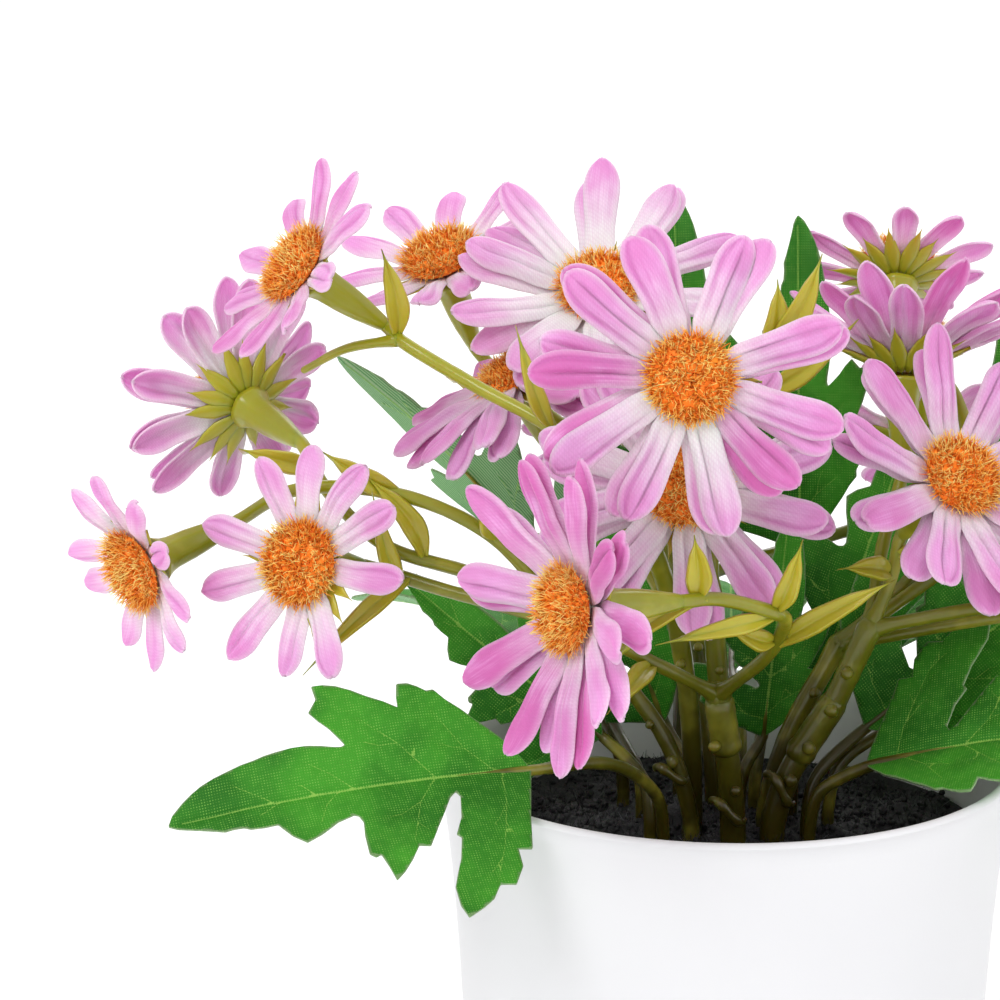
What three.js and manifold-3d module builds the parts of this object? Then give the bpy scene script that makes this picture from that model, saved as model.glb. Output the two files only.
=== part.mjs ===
// A potted daisy: pink daisies on moulded stems, with cut fabric leaves, in a plain white pot.
// Lengths are in millimetres and +Z is up. The origin is under the middle of the pot, on what it stands on.
import * as THREE from "three";
import { mergeVertices } from "three/addons/utils/BufferGeometryUtils.js";
import Module from "manifold-3d";

const wasm = await Module();
wasm.setup();

// Pot and soil
const POT = {
  height: 88, footRadius: 43.4, taper: 3.0, flare: 3.1, flarePower: 4, wall: 1.8, floor: 3, segments: 30,
};
const SOIL = { drop: 15, gap: 0.3, bump: 1.1, segments: 18, holeDepth: 12, holeGap: 0.6 };
const SOIL_TOP = POT.height - SOIL.drop;

// Blooms: a calyx with a star of sepals, one or two rings of fabric petals, and a bristly disc
const CALYX = { length: 12, root: 16, topRadius: 2.8, topDepth: 1.7, pinRadius: 0.8 };
const SEPALS = { count: 7, valley: 3.5, reach: 10.2, thickness: 0.7, lean: 0.02 };
const PETALS = { count: 10, thickness: 0.6, hole: 1.5, clearance: 0.5, stagger: 0.16, flatter: 8 };
const DISC = { radius: 7.6, height: 4.4, sides: 10, gap: 0.35, relief: 0.6 };
const SIZES = {
  large: { reach: 24.5, width: 6.9, rings: 2 },
  medium: { reach: 20.5, width: 6.6, rings: 2 },
  small: { reach: 19.5, width: 5.7, rings: 1 },
  least: { reach: 17, width: 5.2, rings: 1 },
};

// Each bloom: the middle of its calyx top, the way it faces, its size, how steeply its petals stand up, and
// the angle of its first petal or of them all. A parting leaves petals out where another bloom's stem comes
// through.
const BLOOMS = {
  front: {
    at: [-9.3, -48, 164], faces: [0.02, -0.99, 0.13], size: "large", cup: 10,
    angles: [71, 20, -19, -47, -75, -111, -146, -184, -216, -248],
  },
  front_low: {
    at: [-8.7, -24, 139.8], faces: [0, -0.88, 0.48], size: "large", cup: 12, angles: [18],
    parting: { middle: 81, width: 40 },
  },
  upper_mid: { at: [-21.6, 14, 163.3], faces: [-0.1, -0.62, 0.78], size: "large", cup: 18, angles: [15] },
  upper_left: { at: [-47.7, 36, 163.4], faces: [-0.3, -0.36, 0.88], size: "small", cup: 22, angles: [5] },
  left_top: { at: [-69.6, -4, 171.2], faces: [-0.75, -0.3, 0.58], size: "small", cup: 16, angles: [10] },
  left_back: { at: [-81.3, 16, 144.5], faces: [-0.6, 0.8, 0.22], size: "medium", cup: 28, angles: [12] },
  left_low: {
    at: [-69.5, -20, 126.5], faces: [-0.5, -0.82, 0.24], size: "small", cup: 14,
    angles: [90, 61, 32, 3, -35, -91, -120, -155, -190, -224],
  },
  far_left: { at: [-95.5, -12, 125], faces: [-0.78, -0.56, -0.25], size: "least", cup: 22, angles: [8] },
  low_front: { at: [-23.8, -60, 130.2], faces: [-0.86, -0.5, 0.08], size: "large", cup: 26, angles: [14] },
  mid_left: {
    at: [-35.4, 10, 150], faces: [-0.47, -0.06, 0.88], size: "large", cup: 2, angles: [3],
    parting: { middle: 3, width: 80 },
  },
  right_back: { at: [31.8, 46, 159.9], faces: [0.05, 0.72, 0.69], size: "least", cup: 20, angles: [16] },
  right_up: { at: [29.9, 12, 150], faces: [0.03, 0.4, 0.91], size: "medium", cup: 38, angles: [0], stagger: 0.5 },
  right_front: { at: [35, -14, 137.3], faces: [0.4, -0.65, 0.65], size: "large", cup: 22, angles: [9] },
  right_low: { at: [72, -24, 124], faces: [0.62, -0.68, 0.39], size: "small", cup: 14, angles: [4] },
  right_high: { at: [80, 12, 152], faces: [0.5, -0.2, 0.84], size: "large", cup: 16, angles: [7] },
  far_right: { at: [102, -2, 124], faces: [0.85, -0.25, 0.46], size: "small", cup: 18, angles: [11] },
  back_right: { at: [38, 62, 126], faces: [0.3, 0.8, 0.5], size: "small", cup: 16, angles: [2] },
  back_mid: { at: [-14, 62, 130], faces: [-0.25, 0.8, 0.55], size: "small", cup: 16, angles: [13] },
};

// Each spray: its foot in the soil, its trunk's radius and way up, its branches to blooms, twigs and bracts
const STEM = { branchRadius: 1.15, sides: 6, branchSides: 5, tuck: 4, step: 10 };
const BRACT = { width: 3.8, thickness: 1.0, bend: 0.5, looks: [0, -1, 0.4] };
const SPRAYS = {
  front: {
    foot: [1, -6], girth: 2.3, trunk: [[0, -8, 88], [-2, -10, 101]],
    branches: [
      { path: [[-2, -10, 101], [5.5, -23, 112], [7.5, -29, 118.5], [5, -41, 124], [-4, -46, 127.6]],
        bloom: "low_front" },
      { path: [[-2, -10, 101], [-13, -17, 108.6], [-22, -18, 113.5], [-36, -14, 117], [-48, -9, 119]],
        bloom: "left_low" },
    ],
    bracts: [
      [[-7.6, -49.2, 128.3], [-8.3, -50, 139]],
      [[-7.6, -49, 128], [-20.5, -46, 117]],
      [[5, -40, 123], [-14, -49, 121]],
      [[5, -41, 124], [8.8, -46, 137]],
      [[6.5, -26, 115], [-2, -30, 119]],
      [[6.5, -26, 114.5], [25, -32, 127]],
      [[-13, -17, 108.6], [-21, -30, 104]],
      [[-54, -8, 120.3], [-71, -20, 107.5]],
      [[-55, -9, 121], [-59.5, -16, 137.5]],
    ],
  },
  left_mid: {
    foot: [-6, -3], girth: 1.5, trunk: [[-10, -3, 90], [-16, -2, 99], [-28, -5, 113]],
    branches: [
      { path: [[-28, -5, 113], [-42, -6, 120.5], [-58, -6, 126], [-68, -2, 135]], bloom: "left_back" },
      { path: [[-28, -5, 113], [-40, -8, 128], [-55, -8, 135], [-72, -8, 136]], bloom: "far_left" },
    ],
    bracts: [
      [[-55, -8, 135], [-68, -8, 142.5]],
      [[-51, -7, 124], [-61, -10, 139]],
      [[-69.8, 0.2, 137.8], [-82, -4, 142]],
      [[-39, -8, 127.5], [-42, -10, 135]],
    ],
  },
  left_high: {
    foot: [-5.5, 3], girth: 1.8, trunk: [[-6, 2, 92], [-9, -1, 112], [-16, -10, 134]],
    branches: [
      { path: [[-16, -10, 134], [-30, -14, 147.7], [-43, -8, 153.8], [-55.2, -3, 160.3]], bloom: "left_top" },
      { path: [[-9, -1, 112], [-18, 6, 126]], bloom: "mid_left" },
    ],
    twigs: [[[-55.2, -3, 160.3], [-64, 1, 158], [-71.5, 7, 153]]],
    bracts: [
      [[-55.5, -3, 161], [-58, -6, 176]],
      [[-30, -14, 147.7], [-36, -17, 165.5]],
    ],
  },
  centre: {
    foot: [1, 0.5], girth: 2, trunk: [[-1, 0, 96], [-3, -2, 116]],
    branches: [
      { path: [[-3, -2, 116], [-3, -3, 136], [-4, -8, 149], [-6.5, -16, 156], [-9, -25, 160.5]],
        bloom: "front" },
      { path: [[-3, -2, 116]], bloom: "front_low" },
    ],
    twigs: [[[-3, -3, 136], [1, -1.5, 144], [5, -1, 151.5], [6.3, -1, 159.5]]],
    bracts: [
      [[5.5, -1, 157.5], [7.3, -2, 170.2]],
      [[6, -1, 158.5], [14.4, -4, 174.9]],
      [[5, -1.5, 151], [20.4, -6, 164.4]],
    ],
  },
  right: {
    foot: [8, -3.5], girth: 2.3, trunk: [[11, -3.5, 86], [16, -4, 94], [23.5, -6, 111.5]],
    branches: [
      { path: [[23.5, -6, 111.5], [27, -5, 120]], bloom: "right_front" },
      { path: [[23.5, -6, 111.5], [44.7, -10, 116.6], [56, -11, 117.5]], bloom: "right_low" },
      { path: [[23.5, -6, 111.5], [26, 1, 124]], bloom: "right_up" },
    ],
    bracts: [
      [[27, -5.5, 121], [18, -14, 124]],
      [[28, -5, 124], [37, -4, 128]],
      [[45, -10, 116.6], [52, -12, 127]],
    ],
  },
  back: {
    foot: [-1, 17], girth: 1.8, trunk: [[-3, 20, 96], [-6, 22, 112]],
    branches: [
      { path: [[-6, 22, 112], [-12, 25, 132]], bloom: "upper_mid" },
      { path: [[-6, 22, 112], [-18, 28, 130], [-34, 36, 142]], bloom: "upper_left" },
      { path: [[-6, 22, 112], [-16, 34, 109], [-13, 44, 111.5]], bloom: "back_mid" },
      { path: [[-6, 22, 112], [5, 32, 113], [18, 46, 113]], bloom: "back_right" },
    ],
    bracts: [
      [[-34, 36, 142], [-48, 34, 146]],
      [[-14.5, 41, 110.6], [-29, 46, 113]],
    ],
  },
  far_right: {
    foot: [7.5, 3.5], girth: 2, trunk: [[11, 3, 90], [19, 3, 106]],
    branches: [
      { path: [[19, 3, 106], [32, 6, 118], [42, 18, 134], [39, 30, 146]], bloom: "right_back" },
      { path: [[19, 3, 106], [40, 2, 122], [60, 8, 134]], bloom: "right_high" },
      { path: [[19, 3, 106], [48, -3, 113], [74, -1, 115]], bloom: "far_right" },
    ],
    bracts: [
      [[41, 2.5, 122.5], [50, -4, 134]],
      [[64, -2.3, 114.5], [73, -14, 108]],
      [[36, 9, 123], [44, 3, 134]],
    ],
  },
};

// Fabric leaves: the stalk's foot in the soil and its way up, the blade's base and tip, and its width
const LEAF = { thickness: 0.8, stalkRadius: 1.1, stalkSides: 4, fold: 14, seat: 0.3 };
const LEAVES = {
  front_left: {
    foot: [-11, -9], stalk: [[-12, -10.5, 83], [-20, -20, 92]],
    base: [-33.5, -31.5, 95], tip: [-91.4, -48, 90.5],
    faces: [-0.1, -0.75, 0.66], width: 50, arch: 0.05,
  },
  left: {
    foot: [-13, -3], stalk: [[-14, -1, 83]], base: [-21, 6, 88.5], tip: [-55, 9, 116.2],
    faces: [-0.4, -0.9, 0.3], width: 32, arch: 0.04,
  },
  left_high: {
    foot: [-14, 9], stalk: [[-14.6, 10, 81], [-19, 22, 87]], base: [-25, 32, 105], tip: [-67.5, 44, 147.5],
    faces: [0.2, 0.8, 0.5], width: 30, arch: 0.06,
  },
  mid_left: {
    foot: [-6, 10], stalk: [[-6.5, 11, 82]], base: [-10, 16, 88], tip: [-26, 20, 133],
    faces: [-0.2, -0.95, 0.2], width: 28, arch: 0.03,
  },
  mid_right: {
    foot: [3, 9.5], stalk: [[4, 10, 82]], base: [7, 11, 87], tip: [11, 13, 127],
    faces: [0, -0.97, 0.2], width: 26, arch: 0.03,
  },
  back_tall: {
    foot: [-7, 22], stalk: [[-7, 24, 84], [-6, 36, 99]], base: [-5, 44, 114], tip: [-7.7, 56, 175.2],
    faces: [0, -0.95, 0.25], width: 34, arch: 0.05,
  },
  back_right_tall: {
    foot: [6, 16], stalk: [[7, 18, 84], [11, 29, 100]], base: [15, 39, 113], tip: [14, 46, 172.5],
    faces: [-0.1, -0.95, 0.2], width: 36, arch: 0.05,
  },
  right_mid: {
    foot: [12, 9], stalk: [[12.5, 10, 83]], base: [15, 14.5, 92], tip: [34, 31, 140],
    faces: [0.1, -0.9, 0.4], width: 38, arch: 0.05,
  },
  right_high: {
    foot: [18, 4], stalk: [[20, 5, 84], [36, 13, 93]], base: [50.6, 28, 106], tip: [49.6, 41, 153],
    faces: [0.3, -0.9, 0.3], width: 34, arch: 0.05,
  },
  right: {
    foot: [14, 0], stalk: [[15.5, 1, 83]], base: [24, 5, 90.5], tip: [68, 16, 122],
    faces: [0.1, -0.85, 0.5], width: 40, arch: 0.05,
  },
  right_low: {
    foot: [14, -7], stalk: [[15.5, -7.5, 83]], base: [23, -9, 88.5], tip: [84, -30, 101],
    faces: [0.05, -0.5, 0.86], width: 46, arch: 0.05,
  },
  back_left: {
    foot: [-17, 17], stalk: [[-17.8, 18, 82], [-23, 26, 89]], base: [-29, 33, 93], tip: [-66, 62, 98],
    faces: [-0.1, 0.3, 0.95], width: 44, arch: 0.08,
  },
  back_right: {
    foot: [12, 18], stalk: [[13.5, 20, 83], [19, 27, 90]], base: [24, 32, 93], tip: [68, 64, 98],
    faces: [0.1, 0.2, 0.97], width: 44, arch: 0.08,
  },
  back: {
    foot: [4, 23], stalk: [[4, 25, 83], [4, 32, 89]], base: [3, 38, 91], tip: [6, 98, 90],
    faces: [0, 0.2, 0.98], width: 44, arch: 0.1,
  },
};

// Cut leaf outline, from the base along each side of the midrib: share of length, share of width
const LOBES = [
  [
    [0.05, 0.2], [0.08, 0.34], [0.16, 0.47], [0.32, 0.57], [0.28, 0.26], [0.24, 0.08],
    [0.37, 0.27], [0.47, 0.39], [0.52, 0.28], [0.53, 0.1], [0.67, 0.18], [0.88, 0.07],
  ],
  [
    [0.07, 0.1], [0.25, 0.29], [0.32, 0.32], [0.34, 0.24], [0.46, 0.33],
    [0.57, 0.35], [0.58, 0.27], [0.5, 0.15], [0.65, 0.17], [0.8, 0.15],
  ],
];

// A repeatable draw between -1 and 1 for piece number k of a family
function draw(family, k) {
  const x = Math.sin(family * 12.9898 + k * 78.233) * 43758.5453;
  return 2 * (x - Math.floor(x)) - 1;
}

const vector = (p) => new THREE.Vector3(...p);
const radians = THREE.MathUtils.degToRad;
const slope = (degrees) => Math.tan(radians(degrees));

// A closed mesh as a solid, turned the right way out
function solidOf(geometry) {
  const bare = new THREE.BufferGeometry();
  bare.setAttribute("position", geometry.getAttribute("position"));
  if (geometry.index) bare.setIndex(geometry.index);
  const merged = mergeVertices(bare, 1e-4);
  const triVerts = new Uint32Array(merged.index.array);
  const make = () => new wasm.Manifold(
    new wasm.Mesh({ numProp: 3, vertProperties: merged.attributes.position.array, triVerts }),
  );
  const made = make();
  if (made.volume() > 0) return made;
  for (let i = 0; i < triVerts.length; i += 3) {
    [triVerts[i + 1], triVerts[i + 2]] = [triVerts[i + 2], triVerts[i + 1]];
  }
  return make();
}

const join = (solids) => wasm.Manifold.union(solids);

function geometryOf(solid) {
  const { numProp, vertProperties, triVerts } = solid.getMesh();
  const positions = new Float32Array((vertProperties.length / numProp) * 3);
  for (let i = 0; i < positions.length / 3; i++) {
    for (let k = 0; k < 3; k++) positions[3 * i + k] = vertProperties[numProp * i + k];
  }
  const geometry = new THREE.BufferGeometry();
  geometry.setAttribute("position", new THREE.BufferAttribute(positions, 3));
  geometry.setIndex(new THREE.BufferAttribute(new Uint32Array(triVerts), 1));
  geometry.computeVertexNormals();
  return geometry;
}

// Puts each vertex of a geometry where shift says
function reshape(geometry, shift) {
  const position = geometry.getAttribute("position");
  for (let i = 0; i < position.count; i++) {
    const point = new THREE.Vector3().fromBufferAttribute(position, i);
    position.setXYZ(i, ...shift(point).toArray());
  }
  return geometry;
}

// The number of the corner that a point of a many-sided lathe stands at
const cornerOf = ({ x, y }, sides) => Math.round((Math.atan2(y, x) * sides) / (2 * Math.PI) + 0.25);

// A thin solid from flat polygons in (u, v): place(u, v) is its middle surface, and open edges get a wall
function blade(polygons, thickness, place) {
  const corners = [];
  const triangles = [];
  const indexOf = ({ x, y }) => {
    const found = corners.findIndex((c) => Math.abs(c.x - x) + Math.abs(c.y - y) < 1e-6);
    return found >= 0 ? found : corners.push({ x, y }) - 1;
  };
  for (const polygon of polygons) {
    const flat = polygon.map(([u, v]) => new THREE.Vector2(u, v));
    const ids = flat.map(indexOf);
    for (const [a, b, c] of THREE.ShapeUtils.triangulateShape(flat, [])) {
      const left = THREE.ShapeUtils.area([flat[a], flat[b], flat[c]]) > 0;
      triangles.push(left ? [ids[a], ids[b], ids[c]] : [ids[a], ids[c], ids[b]]);
    }
  }
  const step = 1e-3;
  const points = [];
  for (const side of [0.5, -0.5]) {
    for (const { x, y } of corners) {
      const along = place(x + step, y).sub(place(x - step, y));
      const across = place(x, y + step).sub(place(x, y - step));
      const normal = along.cross(across).normalize();
      points.push(...place(x, y).addScaledVector(normal, side * thickness).toArray());
    }
  }
  const edges = new Set(triangles.flatMap(([a, b, c]) => [[a, b], [b, c], [c, a]]).map(String));
  const low = corners.length;
  const faces = [];
  for (const [a, b, c] of triangles) {
    faces.push(a, b, c, low + a, low + c, low + b);
    for (const [p, q] of [[a, b], [b, c], [c, a]]) {
      if (!edges.has(String([q, p]))) faces.push(p, low + q, q, p, low + p, low + q);
    }
  }
  const geometry = new THREE.BufferGeometry();
  geometry.setAttribute("position", new THREE.BufferAttribute(new Float32Array(points), 3));
  geometry.setIndex(faces);
  return solidOf(geometry);
}

// A tube through points, with a ring of corners about every step along it
function tube(points, radius, sides) {
  const section = new THREE.Shape();
  for (let i = 0; i < sides; i++) {
    const angle = (2 * Math.PI * i) / sides;
    section[i ? "lineTo" : "moveTo"](radius * Math.cos(angle), radius * Math.sin(angle));
  }
  section.closePath();
  const extrudePath = new THREE.CatmullRomCurve3(points.map(vector), false, "centripetal");
  const steps = Math.max(3, Math.round(extrudePath.getLength() / STEM.step));
  return solidOf(new THREE.ExtrudeGeometry(section, { steps, extrudePath, bevelEnabled: false }));
}

function post(x, y, low, high, radius, sides) {
  const cylinder = new THREE.CylinderGeometry(radius, radius, high - low, sides);
  cylinder.rotateX(Math.PI / 2);
  cylinder.translate(x, y, (low + high) / 2);
  return solidOf(cylinder);
}

// The straight way of a foot through the soil
const rooted = (x, y) => [-SOIL.holeDepth, -3, 3.5].map((z) => [x, y, SOIL_TOP + z]);

function lathe(profile, segments) {
  const turned = new THREE.LatheGeometry(profile.map(([r, z]) => new THREE.Vector2(r, z)), segments);
  return turned.rotateX(Math.PI / 2);
}

// Pot
const potRadius = (z) => {
  const share = z / POT.height;
  return POT.footRadius + POT.taper * share + POT.flare * share ** POT.flarePower;
};

function pot() {
  const { height, wall, floor, segments } = POT;
  const levels = [1.2, 48, 74, height - 0.7];
  const outer = levels.map((z) => [potRadius(z), z]);
  const inner = levels.slice(2).map((z) => [potRadius(z) - wall, z]).reverse();
  return solidOf(lathe([
    [0, 0], [potRadius(0) - 1.2, 0], ...outer,
    [potRadius(height) - wall / 2, height], ...inner,
    [potRadius(floor) - wall, floor], [0, floor],
  ], segments));
}

// Soil: a plug that fills the pot, with a rough top and a plain hole for each foot
function soil(feet) {
  const { gap, bump, segments, holeDepth, holeGap } = SOIL;
  const edge = (z) => potRadius(z) * Math.cos(Math.PI / POT.segments) - POT.wall - gap;
  const low = POT.floor + gap;
  const plug = lathe([
    [0, low], [edge(low), low], [edge(SOIL_TOP), SOIL_TOP - 0.5],
    [34, SOIL_TOP], [20, SOIL_TOP], [0, SOIL_TOP],
  ], segments);
  reshape(plug, (point) => {
    const { x, y, z } = point;
    const lump = Math.sin(x * 0.31 + 1) * Math.cos(y * 0.27) + 0.6 * Math.sin(x * 0.17 - y * 0.23);
    return z > SOIL_TOP - 1 ? point.setZ(z + bump * lump) : point;
  });
  const holes = feet.map(({ at: [x, y], radius, sides }) =>
    post(x, y, SOIL_TOP - holeDepth - gap, SOIL_TOP + 8, radius + holeGap, sides));
  return solidOf(plug).subtract(join(holes));
}

// Heights in a bloom's own frame, where z is the way it faces and its calyx ends at z = 0
function bloomHeights({ size, cup }) {
  const { thickness, clearance, hole, flatter } = PETALS;
  const double = SIZES[size].rings === 2;
  const steep = slope(cup);
  const flat = double ? slope(cup - flatter) : steep;
  const lowRing = clearance + thickness / 2;
  const topRing = lowRing + (double ? thickness / 2 : 0);
  const pinTop = topRing + thickness / 2 + Math.max(0, steep) * hole;
  return { steep, flat, lowRing, topRing, pinTop };
}

// The calyx: a slender cup that spreads into a star of sepals, and the pin that holds the petals and the disc
function calyx(bloom) {
  const { root, topRadius, topDepth, pinRadius } = CALYX;
  const { count, valley, reach, thickness, lean } = SEPALS;
  const { flat, pinTop } = bloomHeights(bloom);
  const star = lathe([
    [0, -root], [topRadius, -topDepth], [valley, -thickness], [valley, 0], [0, 0],
  ], 2 * count);
  reshape(star, (point) => {
    const r = Math.hypot(point.x, point.y);
    if (r < valley - 0.1) return point;
    const out = cornerOf(point, 2 * count) % 2 ? valley : reach;
    return new THREE.Vector3((point.x * out) / r, (point.y * out) / r, point.z + (flat - lean) * out);
  });
  return join([solidOf(star), post(0, 0, -1, pinTop, pinRadius, 4)]);
}

// One ring of petals, cut from one sheet: petals meet in valleys, then widen and close in a round tip. The
// lower ring is turned a little to one side, and unevenly, so that it peeks out beside the upper one.
function petalRing({ size, cup, angles, parting }, family, { middle, rise, turn, outline }) {
  const { reach, width } = SIZES[size];
  const { count, thickness, hole } = PETALS;
  const valley = 0.41 * reach;
  const azimuths = [];
  for (let i = 0; i < count; i++) {
    const angle = angles.length > 1 ? angles[i] : angles[0] + (360 / count) * i + 4 * draw(family, i);
    azimuths.push(angle + (360 / count) * turn + (turn ? 2 * draw(family, i + 20) : 0));
  }
  azimuths.sort((a, b) => a - b);
  const between = azimuths.map((angle, i) => {
    const next = i + 1 < count ? azimuths[i + 1] : azimuths[0] + 360;
    return radians((angle + next) / 2);
  });
  const around = (r, angle) => [r * Math.cos(angle), r * Math.sin(angle)];
  const away = (a, b) => Math.abs(((((a - b) % 360) + 540) % 360) - 180);
  const polygons = [];
  azimuths.forEach((degrees, i) => {
    const before = around(valley, between[(i + count - 1) % count]);
    const after = around(valley, between[i]);
    if (i % 2) {
      const hub = [i - 1, i + 1].map((k) => around(hole, between[(k + count - 1) % count]));
      polygons.push([hub[0], around(valley, between[(i + count - 2) % count]), before, after, hub[1]]);
    }
    if (parting && away(degrees, parting.middle) < parting.width / 2) return;
    const long = reach * (1 + 0.05 * draw(family, i + 80 + 10 * turn));
    const [cos, sin] = [Math.cos(radians(degrees)), Math.sin(radians(degrees))];
    const edge = outline.map(([u, v]) => [u * long, (v * width) / 2]);
    const sides = [...edge.map(([r, h]) => [r, -h]), ...edge.filter(([, h]) => h > 0).reverse()];
    polygons.push([before, ...sides.map(([r, h]) => [r * cos - h * sin, r * sin + h * cos]), after]);
  });
  const place = (x, y) => {
    const r = Math.hypot(x, y);
    const angle = THREE.MathUtils.radToDeg(Math.atan2(y, x));
    const gaps = azimuths.map((a) => away(a, angle));
    const nearest = gaps.indexOf(Math.min(...gaps));
    const beyond = Math.max(0, r - valley);
    const tilt = 0.06 * draw(family, nearest + 40 + 10 * turn) - (0.1 * beyond) / (reach - valley);
    return new THREE.Vector3(x, y, middle + rise * r + tilt * beyond);
  };
  return blade(polygons, thickness, place);
}

const ROUND_PETAL = [[0.74, 1], [0.93, 0.66], [1, 0]];
const PLAIN_PETAL = [[0.82, 0.95], [1, 0]];

function petals(bloom, family) {
  const { steep, flat, lowRing, topRing } = bloomHeights(bloom);
  const upper = petalRing(bloom, family, { middle: topRing, rise: steep, turn: 0, outline: ROUND_PETAL });
  if (SIZES[bloom.size].rings === 1) return upper;
  const turn = (bloom.stagger ?? PETALS.stagger) * (draw(family, 65) > 0 ? 1 : -1);
  return upper.add(petalRing(bloom, family, { middle: lowRing, rise: flat, turn, outline: PLAIN_PETAL }));
}

// The flocked disc: a dome whose surface stands in bristly points, hollowed below to sit over the petals
function disc(bloom) {
  const { radius, height, sides, gap, relief } = DISC;
  const { steep, pinTop } = bloomHeights(bloom);
  const under = Math.max(0, 1.07 * steep) + 0.02;
  const low = pinTop + gap;
  const rim = low + under * radius;
  const dome = lathe([
    [0, low], [radius - 0.7, rim - 0.7 * under], [radius, rim + 0.28 * height],
    [0.6 * radius, rim - 0.3 * under * radius + 0.8 * height], [0, rim - 0.45 * under * radius + height],
  ], sides);
  reshape(dome, (point) => {
    const r = Math.hypot(point.x, point.y);
    if (r < 0.1 || point.z < low + under * r + 0.3) return point;
    const row = r > 0.8 * radius ? 0 : 1;
    const out = (cornerOf(point, sides) + row) % 2 ? relief : -relief;
    return point.addScaledVector(point.clone().setZ(point.z - low).normalize(), out);
  });
  return solidOf(dome);
}

// The matrix that stands a bloom's own frame where it belongs
function bloomMatrix({ at, faces }) {
  const up = new THREE.Vector3(0, 0, 1);
  const turn = new THREE.Quaternion().setFromUnitVectors(up, vector(faces).normalize());
  return new THREE.Matrix4().compose(vector(at), turn, new THREE.Vector3(1, 1, 1));
}

const moved = (solid, matrix) => solid.transform(matrix.toArray());

// A small pointed bract from a point on the stem to its tip, bent a little on the way
function bract([base, tip]) {
  const { width, thickness, bend, looks } = BRACT;
  const start = vector(base);
  const along = vector(tip).sub(start);
  const across = vector(looks).cross(along).normalize();
  const up = along.clone().normalize().cross(across);
  const bow = bend * along.length();
  const place = (u, v) => start.clone()
    .addScaledVector(along, u)
    .addScaledVector(across, v * width)
    .addScaledVector(up, bow * u * (1 - u));
  return blade([
    [[-0.05, -0.16], [0.42, -0.5], [0.42, 0.5], [-0.05, 0.16]],
    [[0.42, -0.5], [1, 0], [0.42, 0.5]],
  ], thickness, place);
}

function spray({ foot: [x, y], girth, trunk, branches, twigs = [], bracts }) {
  const { branchRadius, sides, branchSides, tuck } = STEM;
  const solids = [
    tube([...rooted(x, y), ...trunk], girth, sides),
    ...twigs.map((path) => tube(path, branchRadius * 0.8, branchSides)),
    ...bracts.map(bract),
  ];
  for (const { path, bloom } of branches) {
    const matrix = bloomMatrix(BLOOMS[bloom]);
    const below = (depth) => new THREE.Vector3(0, 0, -CALYX.length - depth).applyMatrix4(matrix).toArray();
    solids.push(tube([...path, below(tuck), below(-3)], branchRadius, branchSides));
    solids.push(moved(calyx(BLOOMS[bloom]), matrix));
  }
  return join(solids);
}

// A leaf: its stalk from the soil, and a lobed blade folded a little at the midrib and arched along it
function leaf({ foot: [x, y], stalk, base, tip, faces, width, arch }) {
  const { thickness, stalkRadius, stalkSides, fold, seat } = LEAF;
  const start = vector(base);
  const along = vector(tip).sub(start);
  const long = along.length();
  along.normalize();
  const across = vector(faces).cross(along).normalize();
  const up = along.clone().cross(across);
  const place = (u, v) => start.clone()
    .addScaledVector(along, u * long)
    .addScaledVector(across, v * width * Math.cos(radians(fold)))
    .addScaledVector(up, arch * long * 4 * u * (1 - u) + Math.abs(v) * width * Math.sin(radians(fold)));
  const rib = [0.75, 0.5, 0.25].map((u) => [u, 0]);
  const halves = LOBES.map((lobes, i) => [[0, 0], ...lobes.map(([u, v]) => [u, i ? -v : v]), [1, 0], ...rib]);
  const under = (u) => place(u, 0).addScaledVector(up, -seat * stalkRadius).toArray();
  return join([
    blade(halves, thickness, place),
    tube([...rooted(x, y), ...stalk, under(0), under(0.08)], stalkRadius, stalkSides),
  ]);
}

// Materials
const finish = (color, roughness) => new THREE.MeshStandardMaterial({ color, roughness, metalness: 0 });
const MATERIALS = {
  pot: finish("#f1f1f2", 0.45),
  soil: finish("#17171a", 0.95),
  stem: finish("#8a8a2c", 0.35),
  leaf: finish("#2f7d24", 0.7),
  petal: finish("#e79ae0", 0.8),
  disc: finish("#f08a2c", 0.9),
};

const group = new THREE.Group();
function add(name, solid, material) {
  const mesh = new THREE.Mesh(geometryOf(solid), material);
  mesh.name = name;
  group.add(mesh);
}

const feet = [
  ...Object.values(SPRAYS).map(({ foot, girth }) => ({ at: foot, radius: girth, sides: STEM.sides })),
  ...Object.values(LEAVES).map(({ foot }) => (
    { at: foot, radius: LEAF.stalkRadius, sides: LEAF.stalkSides }
  )),
];

add("pot", pot(), MATERIALS.pot);
add("soil", soil(feet), MATERIALS.soil);
for (const [name, design] of Object.entries(SPRAYS)) add(`stem_${name}`, spray(design), MATERIALS.stem);
for (const [name, design] of Object.entries(LEAVES)) add(`leaf_${name}`, leaf(design), MATERIALS.leaf);
Object.entries(BLOOMS).forEach(([name, design], family) => {
  const matrix = bloomMatrix(design);
  add(`petals_${name}`, moved(petals(design, family + 1), matrix), MATERIALS.petal);
  add(`disc_${name}`, moved(disc(design), matrix), MATERIALS.disc);
});

export default group;
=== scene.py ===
import math
import random

import bmesh
import bpy
from mathutils import Matrix, Vector, noise


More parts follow.
